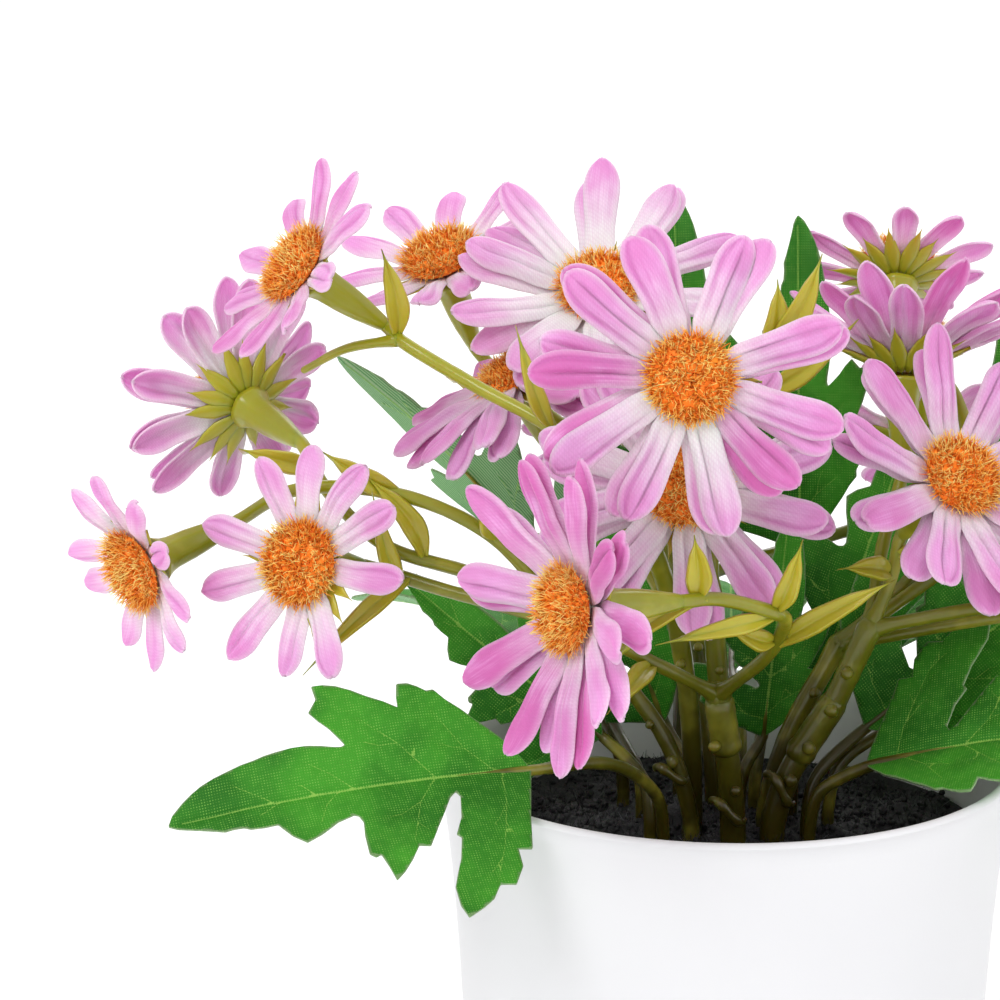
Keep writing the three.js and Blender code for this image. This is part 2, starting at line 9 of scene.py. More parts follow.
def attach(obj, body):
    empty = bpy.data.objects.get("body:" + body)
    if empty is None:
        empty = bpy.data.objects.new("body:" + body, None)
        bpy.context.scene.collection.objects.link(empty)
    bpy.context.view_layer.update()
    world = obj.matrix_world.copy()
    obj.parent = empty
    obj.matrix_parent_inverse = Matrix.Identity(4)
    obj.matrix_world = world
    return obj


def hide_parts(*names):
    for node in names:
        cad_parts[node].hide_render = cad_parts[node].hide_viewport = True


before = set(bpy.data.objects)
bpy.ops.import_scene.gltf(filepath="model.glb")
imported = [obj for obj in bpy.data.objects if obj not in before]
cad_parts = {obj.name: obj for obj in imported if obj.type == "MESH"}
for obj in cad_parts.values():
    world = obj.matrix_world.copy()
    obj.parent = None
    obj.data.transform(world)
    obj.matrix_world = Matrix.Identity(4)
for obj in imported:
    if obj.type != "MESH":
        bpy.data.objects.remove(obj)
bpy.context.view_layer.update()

# An artificial daisy in a plain white pot: printed cloth petals and leaves, bristly discs, and moulded stems.
# Shapes are worked out in millimetres, in the model's own frame, and each finished piece is scaled to metres.
MM = 0.001

# Pot and filling
POT = dict(height=88, foot_radius=43.4, taper=3.0, flare=3.1, flare_power=4, wall=1.8, floor=3)
SOIL_TOP = 73
SOIL_GAP = 0.3
SOIL_BUMP = 1.1
ROOT_HEIGHTS = (-12, -3, 3.5)

# Spikes: their lengths, how far they lean, and how wide they are at the root and the tip, as shares of a face
BRISTLES = dict(lengths=(1.2, 2.4), lean=2.4, root=0.56, tip=0.3)
FIBRES = dict(lengths=(0.8, 2.6), lean=2.4, root=0.11, tip=0.45)

# Blooms, in a bloom's own frame: z is the way it faces, and its calyx ends at z = 0. Its pink is how near to the
# disc the print starts, from 0, halfway along, to 1, at the disc, for a bloom or for each of its petals. CALYX is the
# outline of the calyx, as (radius, height).
SEPAL = dict(count=14, root=2.5, reach=11.8, width=4.2, thickness=0.45, lean=0.02)
PETAL = dict(count=10, hub=2.2, thickness=0.34, clearance=0.8, layer=0.3, stagger=0.16, flatter=8, valley=0.41,
             crown=0.34, pad=0.45, hem_inset=1.25, hem_width=0.42, hem_depth=0.5)
CALYX = [(0, -16.1), (0.9, -16), (1.25, -15.2), (1.5, -14), (1.75, -12.4), (2.1, -10.5), (2.35, -8.5), (2.55, -6.5),
         (2.65, -4.5), (2.75, -3), (3, -1.9), (3.5, -1), (3.9, -0.5), (0, -0.2)]
DISC = dict(radius=7.6, gap=0.35, dome=6.4, core=6.5, flat=0.42, shift=0.02, spare=0.4)
SIZES = {
    "large": dict(reach=24.5, width=6.3, rings=2),
    "medium": dict(reach=20.5, width=6.0, rings=2),
    "small": dict(reach=19.5, width=5.3, rings=1),
    "least": dict(reach=17, width=4.8, rings=1),
}

BLOOMS = {
    "front": dict(at=(-9.3, -48, 164), faces=(0.02, -0.99, 0.13), size="large", cup=10,
                  angles=(71, 20, -19, -47, -75, -111, -146, -184, -216, -248),
                  pink=(0.5, 0.85, 0.8, 0.9, 0.2, 0.3, 0.8, 0.9, 0.95, 0.7)),
    "front_low": dict(at=(-8.7, -24, 139.8), faces=(0, -0.88, 0.48), size="large", cup=12, angles=(18,),
                      parting=(81, 40), pink=0.5),
    "upper_mid": dict(at=(-21.6, 14, 163.3), faces=(-0.1, -0.62, 0.78), size="large", cup=18, angles=(15,),
                      pink=0.25),
    "upper_left": dict(at=(-47.7, 36, 163.4), faces=(-0.3, -0.36, 0.88), size="small", cup=22, angles=(5,),
                       pink=0.55),
    "left_top": dict(at=(-69.6, -4, 171.2), faces=(-0.75, -0.3, 0.58), size="small", cup=16, angles=(10,), pink=0.8),
    "left_back": dict(at=(-81.3, 16, 144.5), faces=(-0.6, 0.8, 0.22), size="medium", cup=28, angles=(12,), pink=0.5),
    "left_low": dict(at=(-69.5, -20, 126.5), faces=(-0.5, -0.82, 0.24), size="small", cup=14,
                     angles=(90, 61, 32, 3, -35, -91, -120, -155, -190, -224), pink=0.5),
    "far_left": dict(at=(-95.5, -12, 125), faces=(-0.78, -0.56, -0.25), size="least", cup=22, angles=(8,), pink=0.5),
    "low_front": dict(at=(-23.8, -60, 130.2), faces=(-0.86, -0.5, 0.08), size="large", cup=26, angles=(14,),
                      pink=1.0),
    "mid_left": dict(at=(-35.4, 10, 150), faces=(-0.47, -0.06, 0.88), size="large", cup=2, angles=(3,),
                     parting=(3, 80), pink=0.75),
    "right_back": dict(at=(31.8, 46, 159.9), faces=(0.05, 0.72, 0.69), size="least", cup=20, angles=(16,), pink=0.75),
    "right_up": dict(at=(29.9, 12, 150), faces=(0.03, 0.4, 0.91), size="medium", cup=38, angles=(0,), stagger=0.5,
                     pink=0.95),
    "right_front": dict(at=(35, -14, 137.3), faces=(0.4, -0.65, 0.65), size="large", cup=22, angles=(9,), pink=0.8),
    "right_low": dict(at=(72, -24, 124), faces=(0.62, -0.68, 0.39), size="small", cup=14, angles=(4,), pink=0.5),
    "right_high": dict(at=(80, 12, 152), faces=(0.5, -0.2, 0.84), size="large", cup=16, angles=(7,), pink=0.4),
    "far_right": dict(at=(102, -2, 124), faces=(0.85, -0.25, 0.46), size="small", cup=18, angles=(11,), pink=0.7),
    "back_right": dict(at=(38, 62, 126), faces=(0.3, 0.8, 0.5), size="small", cup=16, angles=(2,), pink=0.6),
    "back_mid": dict(at=(-14, 62, 130), faces=(-0.25, 0.8, 0.55), size="small", cup=16, angles=(13,), pink=0.45),
}
FAMILY = {name: number for number, name in enumerate(BLOOMS, 1)}

# Sprays: foot in the soil, trunk radius, way up, branches as (way, bloom), bare twigs, and bracts as (base, tip)
BRANCH_RADIUS = 1.15
BRACT = dict(width=3.6, thickness=0.7, bend=0.5, looks=(0, -1, 0.4))
SPRAYS = {
    "front": dict(
        foot=(1, -6), girth=2.3, trunk=[(0, -8, 88), (-2, -10, 101)],
        branches=[
            ([(-2, -10, 101), (5.5, -23, 112), (7.5, -29, 118.5), (5, -41, 124), (-4, -46, 127.6)], "low_front"),
            ([(-2, -10, 101), (-13, -17, 108.6), (-22, -18, 113.5), (-36, -14, 117), (-48, -9, 119)], "left_low"),
        ],
        bracts=[
            ((-7.6, -49.2, 128.3), (-8.3, -50, 139)), ((-7.6, -49, 128), (-20.5, -46, 117)),
            ((5, -40, 123), (-14, -49, 121)), ((5, -41, 124), (8.8, -46, 137)),
            ((6.5, -26, 115), (-2, -30, 119)), ((6.5, -26, 114.5), (25, -32, 127)),
            ((-13, -17, 108.6), (-21, -30, 104)), ((-54, -8, 120.3), (-71, -20, 107.5)),
            ((-55, -9, 121), (-59.5, -16, 137.5)),
        ]),
    "left_mid": dict(
        foot=(-6, -3), girth=1.5, trunk=[(-10, -3, 90), (-16, -2, 99), (-28, -5, 113)],
        branches=[
            ([(-28, -5, 113), (-42, -6, 120.5), (-58, -6, 126), (-68, -2, 135)], "left_back"),
            ([(-28, -5, 113), (-40, -8, 128), (-55, -8, 135), (-72, -8, 136)], "far_left"),
        ],
        bracts=[
            ((-55, -8, 135), (-68, -8, 142.5)), ((-51, -7, 124), (-61, -10, 139)),
            ((-69.8, 0.2, 137.8), (-82, -4, 142)), ((-39, -8, 127.5), (-42, -10, 135)),
        ]),
    "left_high": dict(
        foot=(-5.5, 3), girth=1.8, trunk=[(-6, 2, 92), (-9, -1, 112), (-16, -10, 134)],
        branches=[
            ([(-16, -10, 134), (-30, -14, 147.7), (-43, -8, 153.8), (-55.2, -3, 160.3)], "left_top"),
            ([(-9, -1, 112), (-18, 6, 126)], "mid_left"),
        ],
        twigs=[[(-55.2, -3, 160.3), (-64, 1, 158), (-71.5, 7, 153)]],
        bracts=[((-55.5, -3, 161), (-58, -6, 176)), ((-30, -14, 147.7), (-36, -17, 165.5))]),
    "centre": dict(
        foot=(1, 0.5), girth=2, trunk=[(-1, 0, 96), (-3, -2, 116)],
        branches=[
            ([(-3, -2, 116), (-3, -3, 136), (-4, -8, 149), (-6.5, -16, 156), (-9, -25, 160.5)], "front"),
            ([(-3, -2, 116)], "front_low"),
        ],
        twigs=[[(-3, -3, 136), (1, -1.5, 144), (5, -1, 151.5), (6.3, -1, 159.5)]],
        bracts=[((5.5, -1, 157.5), (7.3, -2, 170.2)), ((6, -1, 158.5), (14.4, -4, 174.9)),
                ((5, -1.5, 151), (20.4, -6, 164.4))]),
    "right": dict(
        foot=(8, -3.5), girth=2.3, trunk=[(11, -3.5, 86), (16, -4, 94), (23.5, -6, 111.5)],
        branches=[
            ([(23.5, -6, 111.5), (27, -5, 120)], "right_front"),
            ([(23.5, -6, 111.5), (44.7, -10, 116.6), (56, -11, 117.5)], "right_low"),
            ([(23.5, -6, 111.5), (26, 1, 124)], "right_up"),
        ],
        bracts=[((27, -5.5, 121), (18, -14, 124)), ((28, -5, 124), (37, -4, 128)), ((45, -10, 116.6), (52, -12, 127))]),
    "back": dict(
        foot=(-1, 17), girth=1.8, trunk=[(-3, 20, 96), (-6, 22, 112)],
        branches=[
            ([(-6, 22, 112), (-12, 25, 132)], "upper_mid"),
            ([(-6, 22, 112), (-18, 28, 130), (-34, 36, 142)], "upper_left"),
            ([(-6, 22, 112), (-16, 34, 109), (-13, 44, 111.5)], "back_mid"),
            ([(-6, 22, 112), (5, 32, 113), (18, 46, 113)], "back_right"),
        ],
        bracts=[((-34, 36, 142), (-48, 34, 146)), ((-14.5, 41, 110.6), (-29, 46, 113))]),
    "far_right": dict(
        foot=(7.5, 3.5), girth=2, trunk=[(11, 3, 90), (19, 3, 106)],
        branches=[
            ([(19, 3, 106), (32, 6, 118), (42, 18, 134), (39, 30, 146)], "right_back"),
            ([(19, 3, 106), (40, 2, 122), (60, 8, 134)], "right_high"),
            ([(19, 3, 106), (48, -3, 113), (74, -1, 115)], "far_right"),
        ],
        bracts=[((41, 2.5, 122.5), (50, -4, 134)), ((64, -2.3, 114.5), (73, -14, 108)), ((36, 9, 123), (44, 3, 134))]),
}

# Moulding marks on the stems: knobs as (point, radius), curled collars as (point, way up, radius), and sleeves as
# (low end, high end, radius)
KNOBS = {
    "front": [((-2.6, -11.6, 92.5), 1.0), ((1.2, -9.6, 84), 0.9), ((-1.2, -31, 119.6), 0.8)],
    "right": [((13.6, -6.2, 90.5), 1.2), ((17.3, -6.4, 97.2), 1.3), ((19.6, -7.5, 104), 1.1),
              ((10.6, -5.6, 84.5), 1.2)],
    "left_mid": [((-9.3, -4.7, 87.6), 1.1), ((-13.2, -4.2, 94), 0.8), ((-27.6, -6.4, 113), 1.0)],
    "centre": [((-1.4, -1.9, 103), 0.9)],
    "back": [((-4, 18.6, 101), 0.9)],
    "left_high": [((-8, -2, 104), 0.9), ((-13, -7.6, 124), 0.8)],
    "far_right": [((15, 1.4, 98), 1.0)],
}
COLLARS = {
    "left_mid": [((-9.6, -3, 86), (-0.3, 0, 1), 2.3)],
    "right": [((9.4, -3.6, 83.5), (0.35, 0, 1), 3.1)],
    "front": [((0.1, -7.6, 81), (0, 0, 1), 2.9)],
}
SLEEVES = {
    "front": [((-0.5, -8.6, 91.2), (-1.9, -9.9, 100.4), 2.62)],
    "right": [((12.2, -3.7, 88.6), (18.2, -4.6, 98.6), 2.5)],
}

# Leaves: foot and way of the stalk, base and tip of the blade, the way it faces, its width and its arch
LEAF = dict(thickness=0.4, stalk_radius=1.1, fold=14, seat=0.3, rounding=0.18, groove=0.3, groove_width=3.2, wave=0.9,
            ripple=0.35)
LEAVES = {
    "front_left": ((-11, -9), [(-12, -10.5, 83), (-20, -20, 92)], (-33.5, -31.5, 95), (-91.4, -48, 90.5),
                   (-0.1, -0.75, 0.66), 50, 0.05),
    "left": ((-13, -3), [(-14, -1, 83)], (-21, 6, 88.5), (-55, 9, 116.2), (-0.4, -0.9, 0.3), 32, 0.04),
    "left_high": ((-14, 9), [(-14.6, 10, 81), (-19, 22, 87)], (-25, 32, 105), (-67.5, 44, 147.5),
                  (0.2, 0.8, 0.5), 30, 0.06),
    "mid_left": ((-6, 10), [(-6.5, 11, 82)], (-10, 16, 88), (-26, 20, 133), (-0.2, -0.95, 0.2), 28, 0.03),
    "mid_right": ((3, 9.5), [(4, 10, 82)], (7, 11, 87), (11, 13, 127), (0, -0.97, 0.2), 26, 0.03),
    "back_tall": ((-7, 22), [(-7, 24, 84), (-6, 36, 99)], (-5, 44, 114), (-7.7, 56, 175.2),
                  (0, -0.95, 0.25), 34, 0.05),
    "back_right_tall": ((6, 16), [(7, 18, 84), (11, 29, 100)], (15, 39, 113), (14, 46, 172.5),
                        (-0.1, -0.95, 0.2), 36, 0.05),
    "right_mid": ((12, 9), [(12.5, 10, 83)], (15, 14.5, 92), (34, 31, 140), (0.1, -0.9, 0.4), 38, 0.05),
    "right_high": ((18, 4), [(20, 5, 84), (36, 13, 93)], (50.6, 28, 106), (49.6, 41, 153),
                   (0.3, -0.9, 0.3), 34, 0.05),
    "right": ((14, 0), [(15.5, 1, 83)], (24, 5, 90.5), (68, 16, 122), (0.1, -0.85, 0.5), 40, 0.05),
    "right_low": ((14, -7), [(15.5, -7.5, 83)], (23, -9, 88.5), (84, -30, 101), (0.05, -0.5, 0.86), 46, 0.05),
    "back_left": ((-17, 17), [(-17.8, 18, 82), (-23, 26, 89)], (-29, 33, 93), (-66, 62, 98),
                  (-0.1, 0.3, 0.95), 44, 0.08),
    "back_right": ((12, 18), [(13.5, 20, 83), (19, 27, 90)], (24, 32, 93), (68, 64, 98),
                   (0.1, 0.2, 0.97), 44, 0.08),
    "back": ((4, 23), [(4, 25, 83), (4, 32, 89)], (3, 38, 91), (6, 98, 90), (0, 0.2, 0.98), 44, 0.1),
}

# Half widths of a leaf's veins, how much fainter the side veins are printed, how far off a vein is told at most, and
# how near to veins a face is a web between them
VEIN = dict(midrib=(0.3, 0.1), side=0.17, fine=0.11, faint=0.45, far=9.0, web=1.5)

# The cut edge of a leaf on each side of its midrib, from base to tip, and its printed veins, in thousandths of its
# length and width
EDGES = {
    1: [(50, 200), (78, 334), (117, 328), (120, 400), (154, 466), (196, 456), (225, 510), (261, 541), (309, 573),
        (321, 522), (318, 446), (298, 390), (278, 338), (258, 256), (269, 241), (240, 174), (222, 86), (231, 66),
        (250, 85), (283, 150), (313, 206), (347, 274), (378, 265), (405, 315), (437, 361), (465, 390), (474, 333),
        (485, 281), (501, 288), (515, 271), (513, 230), (511, 193), (503, 140), (510, 112), (522, 105), (568, 122),
        (618, 158), (663, 180), (695, 142), (723, 87), (760, 88), (796, 83), (812, 71), (839, 68), (862, 70), (884, 58),
        (921, 41), (975, 19)],
    -1: [(30, 50), (70, 110), (137, 182), (167, 216), (205, 253), (232, 289), (252, 288), (275, 307), (299, 321),
         (328, 323), (336, 280), (338, 243), (375, 270), (417, 295), (455, 322), (495, 343), (530, 352), (560, 353),
         (555, 308), (582, 268), (560, 235), (535, 206), (515, 175), (500, 149), (510, 143), (528, 145), (565, 155),
         (603, 162), (645, 164), (687, 161), (720, 157), (748, 150), (785, 143), (818, 132), (860, 118), (898, 102),
         (928, 83), (954, 62), (985, 30)],
}
VEINS = {
    1: [[(86, 0), (101, 129), (149, 308), (202, 455)], [(101, 129), (140, 200), (170, 230)],
        [(274, 0), (334, 89), (390, 262)], [(334, 89), (395, 130), (430, 135)],
        [(542, 0), (582, 43), (614, 120)], [(700, 0), (745, 30), (780, 45)],
        [(125, 220), (110, 270)], [(360, 170), (335, 210)], [(165, 355), (210, 410)]],
    -1: [[(101, 0), (176, 86), (245, 222)], [(271, 0), (358, 128), (461, 239)],
         [(496, 0), (556, 65), (611, 108)], [(715, 0), (801, 70), (817, 85)],
         [(358, 128), (410, 130), (450, 150)], [(320, 75), (310, 120)],
         [(600, 0), (635, 40), (660, 50)], [(176, 86), (220, 100), (250, 120)]],
}


def draw(family, k):
    """A repeatable draw between -1 and 1 for piece number k of a family"""
    x = math.sin(family * 12.9898 + k * 78.233) * 43758.5453
    return 2 * (x - math.floor(x)) - 1


def slope(degrees):
    return math.tan(math.radians(degrees))


def clamp(x):
    return min(1.0, max(0.0, x))


def smooth(low, high, x):
    """0 below low, 1 above high, and an even S between"""
    share = clamp((x - low) / (high - low))
    return share * share * (3 - 2 * share)


def bump(x, middle, width):
    """1 at the middle, and falling away to 0 on both sides"""
    return math.exp(-(((x - middle) / width) ** 2))


def outward(angle):
    """The way out from a bloom's middle at an angle, and the way to its left"""
    out = Vector((math.cos(angle), math.sin(angle), 0))
    return out, Vector((-out.y, out.x, 0))


def scatter(rng):
    """A random step of up to 1 along each axis"""
    return Vector([rng.uniform(-1, 1) for _ in range(3)])


# Meshes

def mesh_from(bm, name):
    mesh = bpy.data.meshes.new(name)
    bm.to_mesh(mesh)
    bm.free()
    return mesh


def put_in_scene(name, data):
    made = bpy.data.objects.new(name, data)
    bpy.context.scene.collection.objects.link(made)
    return made


def new_marks(bm, *names):
    """Numbers that each point of a bmesh carries for its material"""
    return [bm.verts.layers.float.new(name) for name in names]


def stand(name, bm, materials, slot, *nodes):
    """Makes a bmesh in millimetres a finished piece in metres, which stands for CAD nodes"""
    bmesh.ops.scale(bm, vec=(MM, MM, MM), verts=bm.verts)
    mesh = mesh_from(bm, name)
    for material in materials:
        mesh.materials.append(material)
    mesh.shade_smooth()
    piece = put_in_scene(name, mesh)
    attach(piece, "root")
    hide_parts(*nodes)
    return piece


def pour(source, bm):
    """Adds one bmesh to another and lets go of the first"""
    mesh = mesh_from(source, "poured")
    bm.from_mesh(mesh)
    bpy.data.meshes.remove(mesh)


def sheet(bm, rows, columns, place):
    """A sheet whose point at share s along it and t across it, from -1 to 1, is place(s, t)"""
    verts = bmesh.ops.create_grid(bm, x_segments=rows, y_segments=columns, size=0.5)["verts"]
    shares = {vert: (vert.co.x + 0.5, 2 * vert.co.y) for vert in verts}
    faces = list({face for vert in verts for face in vert.link_faces})
    for vert, (s, t) in shares.items():
        vert.co = place(s, t)
    return verts, faces, shares


def turned(bm, profile, steps):
    """A solid of revolution about z from a profile of (radius, height) that starts and ends on the axis"""
    verts = [bm.verts.new((r, 0, z)) for r, z in profile]
    edges = [bm.edges.new(pair) for pair in zip(verts, verts[1:])]
    before = set(bm.faces)
    bmesh.ops.spin(bm, geom=verts + edges, cent=(0, 0, 0), axis=(0, 0, 1), dvec=(0, 0, 0),
                   angle=2 * math.pi, steps=steps, use_merge=True)
    faces = [face for face in bm.faces if face not in before]
    made = list({vert for face in faces for vert in face.verts})
    bmesh.ops.remove_doubles(bm, verts=made, dist=1e-4)
    faces = [face for face in bm.faces if face not in before]
    bmesh.ops.recalc_face_normals(bm, faces=faces)
    return list({vert for face in faces for vert in face.verts})


def smooth_way(points, step):
    """Points about a step apart on a smooth curve through the given ones"""
    points = [Vector(p) for p in points]
    ends = [2 * points[0] - points[1]] + points + [2 * points[-1] - points[-2]]
    way = []
    for a, b, c, d in zip(ends, ends[1:], ends[2:], ends[3:]):
        ab, bc, cd = (max(1e-3, (q - p).length ** 0.5) for p, q in ((a, b), (b, c), (c, d)))
        start = (c - b) + bc * ((b - a) / ab - (c - a) / (ab + bc))
        end = (c - b) + bc * ((d - c) / cd - (d - b) / (bc + cd))
        count = max(2, round((c - b).length / step))
        for i in range(count):
            u = i / count
            way.append((2 * u ** 3 - 3 * u ** 2 + 1) * b + (u ** 3 - 2 * u ** 2 + u) * start
                       + (3 * u ** 2 - 2 * u ** 3) * c + (u ** 3 - u ** 2) * end)
    way.append(points[-1])
    return way


def add_tubes(bm, ways, roundness):
    """Closed round tubes along ways of (point, radius)"""
    curve = bpy.data.curves.new("ways", "CURVE")
    curve.dimensions = "3D"
    curve.bevel_depth = 1
    curve.bevel_resolution = roundness
    curve.use_fill_caps = True
    for way in ways:
        spline = curve.splines.new("POLY")
        spline.points.add(len(way) - 1)
        for knot, (point, radius) in zip(spline.points, way):
            knot.co = (*point, 1)
            knot.radius = radius
    holder = put_in_scene("ways", curve)
    ready = holder.evaluated_get(bpy.context.evaluated_depsgraph_get())
    mesh = bpy.data.meshes.new_from_object(ready)
    before = set(bm.verts)
    bm.from_mesh(mesh)
    bmesh.ops.remove_doubles(bm, verts=[vert for vert in bm.verts if vert not in before], dist=1e-3)
    bpy.data.objects.remove(holder)
    bpy.data.curves.remove(curve)
    bpy.data.meshes.remove(mesh)


def swollen(points, radius, step, start=0.0, end=0.0, taper=0.0, dome=False):
    """A smooth way with its radius, a little thicker where it starts and ends, moulded unevenly, and closed by a
    dome where its end is free"""
    way = smooth_way(points, step)
    lengths = [0.0]
    for a, b in zip(way, way[1:]):
        lengths.append(lengths[-1] + (b - a).length)
    total = lengths[-1]
    result = []
    for point, along in zip(way, lengths):
        grow = 1 + start * bump(along, 0, 2.6) + end * bump(along, total, 2.6) - taper * along / total
        grow += 0.05 * noise.noise(point * 0.35) + 0.03 * noise.noise(point * 1.1)
        result.append((point, radius * grow))
    if dome:
        last, size = result[-1]
        way_out = (way[-1] - way[-2]).normalized()
        result += [(last + way_out * size * math.sin(a), size * math.cos(a)) for a in (0.35, 0.7, 1.05, 1.4)]
    return result


def rooted(x, y):
    """The start of a way that stands in the filling"""
    return [(x, y, SOIL_TOP + z) for z in ROOT_HEIGHTS]


def has_two_rings(bloom):
    return SIZES[bloom["size"]]["rings"] == 2


def bloom_matrix(bloom):
    turn = Vector((0, 0, 1)).rotation_difference(Vector(bloom["faces"]).normalized())
    return Matrix.Translation(bloom["at"]) @ turn.to_matrix().to_4x4()


# Petals

def petal(bm, marks, around, long, wide, valley, heights, mood, pink):
    """One petal of a ring, stamped into a long pad with a hem pressed along it: some also have a deep crease. Each
    mood(k) is one of the petal's own draws."""
    middle, rise, tilt = heights
    hub = PETAL["hub"]
    out, left = outward(around)
    side = 1 if mood(1) > 0 else -1
    creased = 0.22 * wide if mood(2) > -0.15 else 0.03 * wide
    crease_at = side * (0.24 + 0.16 * mood(5))
    sway = 1.4 * mood(3)
    curl = 1.4 + 1.3 * mood(4)
    twist = 0.2 * mood(8)
    tip = 0.95 * wide
    narrow = 0.82 + 0.06 * mood(10)
    pressed = 1.0 if mood(11) > -0.1 else 0.3
    spots = {}

    def place(s, t):
        off = t * (1.2 - 0.2 * t * t)
        r = hub + (long - hub) * (1 - (1 - s) ** 1.4)
        x = max(0.0, (r - valley) / (long - valley))
        half = min(0.96 * r * slope(180 / PETAL["count"]), wide / 2 * (narrow + (1 - narrow) * smooth(0.1, 0.75, x)))
        over = max(0.0, (r - (long - tip)) / tip)
        half *= max(0.1, math.sqrt(max(0.0, 1 - over ** 2.3)))
        inset = min(half * (1 - abs(off)), 1.2 * (long - r) + 0.1)
        rising = smooth(0.1, 0.34, s)
        crown = -PETAL["crown"] * off * off * half
        pad = PETAL["pad"] * smooth(0.1, 1.0, inset)
        crease = -creased * bump(off, crease_at * (1 - 0.35 * s), 0.13) * (1 - 0.85 * smooth(0.66, 0.95, s))
        hem = pressed * min(1.0, smooth(0.1, 0.6, -side * off) + 0.7 * smooth(0.86, 0.97, s))
        fold = -PETAL["hem_depth"] * bump(inset, PETAL["hem_inset"], PETAL["hem_width"]) * hem
        ripple = 0.55 * noise.noise(Vector((0.2 * r, 1.1 * off, 9 * mood(6))))
        lift = (crown + pad + crease + fold + ripple + twist * half * off * x) * rising
        lift += middle + rise * r + tilt * max(0.0, r - valley) - curl * x ** 3
        point = out * r + left * (half * off + sway * x * x)
        spots[(s, t)] = (((r - hub) / (long - hub), off / 2 + 0.5), (point.x * MM, point.y * MM), inset,
                         hem * rising)
        return point + Vector((0, 0, lift))

    rows, columns = ((18, 14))
    verts, faces, shares = sheet(bm, rows, columns, place)
    for vert in verts:
        vert[marks["pink"]] = clamp(pink + 0.2 * mood(7))
        vert[marks["blush"]] = clamp(0.5 + 0.5 * mood(9)) * (0.15 + 0.85 * pink ** 2)
        vert[marks["inset"]], vert[marks["hem"]] = spots[shares[vert]][2:]
    for face in faces:
        for loop in face.loops:
            loop[marks["share"]].uv, loop[marks["cloth"]].uv = spots[shares[loop.vert]][:2]


def petal_ring(bm, marks, bloom, family, middle, rise, turn):
    """A ring of petals cut in one, turned by a share of the step between petals"""
    size = SIZES[bloom["size"]]
    count, reach = PETAL["count"], size["reach"]
    valley = PETAL["valley"] * reach
    angles = bloom["angles"]
    pinks = bloom["pink"] if isinstance(bloom["pink"], tuple) else (bloom["pink"],) * count
    azimuths = []
    for i in range(count):
        angle = angles[i] if len(angles) > 1 else angles[0] + 360 / count * i + 4 * draw(family, i)
        azimuths.append((angle + 360 / count * turn + (2 * draw(family, i + 20) if turn else 0), pinks[i]))
    azimuths.sort()
    for i, (angle, pink) in enumerate(azimuths):
        if "parting" in bloom:
            centre, width = bloom["parting"]
            if abs((angle - centre + 180) % 360 - 180) < width / 2:
                continue
        long = reach * (1 + 0.05 * draw(family, i + 80 + 10 * turn))
        tilt = 0.06 * draw(family, i + 40 + 10 * turn) - 0.05
        petal(bm, marks, math.radians(angle), long, size["width"], valley, (middle, rise, tilt),
              lambda k: draw(family * 3 + 40 * turn, 17 * i + k), pink)


def add_petals(bloom_name, bloom, material):
    family = FAMILY[bloom_name]
    steep = slope(bloom["cup"])
    double = has_two_rings(bloom)
    bm = bmesh.new()
    marks = {name: bm.loops.layers.uv.new(name) for name in ("share", "cloth")}
    names = ("pink", "blush", "inset", "hem")
    marks |= dict(zip(names, new_marks(bm, *names)))
    top = PETAL["clearance"] + (PETAL["layer"] if double else 0)
    petal_ring(bm, marks, bloom, family, top, steep, 0)
    if double:
        turn = bloom.get("stagger", PETAL["stagger"]) * (1 if draw(family, 65) > 0 else -1)
        petal_ring(bm, marks, bloom, family, PETAL["clearance"], slope(bloom["cup"] - PETAL["flatter"]), turn)
    bmesh.ops.transform(bm, matrix=bloom_matrix(bloom), verts=bm.verts)
    piece = stand(f"petal_cloth_{bloom_name}", bm, [material], "petal", f"petals_{bloom_name}")
    cloth = piece.modifiers.new("cloth thickness", "SOLIDIFY")
    cloth.thickness = PETAL["thickness"] * MM
    cloth.offset = 0
    return piece


# Discs

def spikes(bm, rng, layers, lengths, lean, root, tip):
    """Turns each face, all of them loose, into a closed spike that stands on it, leaning any way"""
    height, tint = layers
    faces = list(bm.faces)
    for face in faces:
        centre = face.calc_center_median()
        for vert in face.verts:
            vert.co = centre + (vert.co - centre) * root
    made = bmesh.ops.extrude_face_region(bm, geom=faces, use_keep_orig=True)["geom"]
    for face in [item for item in made if isinstance(item, bmesh.types.BMFace)]:
        centre = face.calc_center_median()
        way = face.normal + lean * scatter(rng)
        colour = rng.random()
        out = way.normalized() * rng.uniform(*lengths)
        for vert in face.verts:
            for edge in vert.link_edges:
                other = edge.other_vert(vert)
                if other not in face.verts:
                    other[tint] = colour
            vert[tint] = colour
            vert[height] = 1
            vert.co = centre + (vert.co - centre) * tip + out
    bmesh.ops.recalc_face_normals(bm, faces=bm.faces)


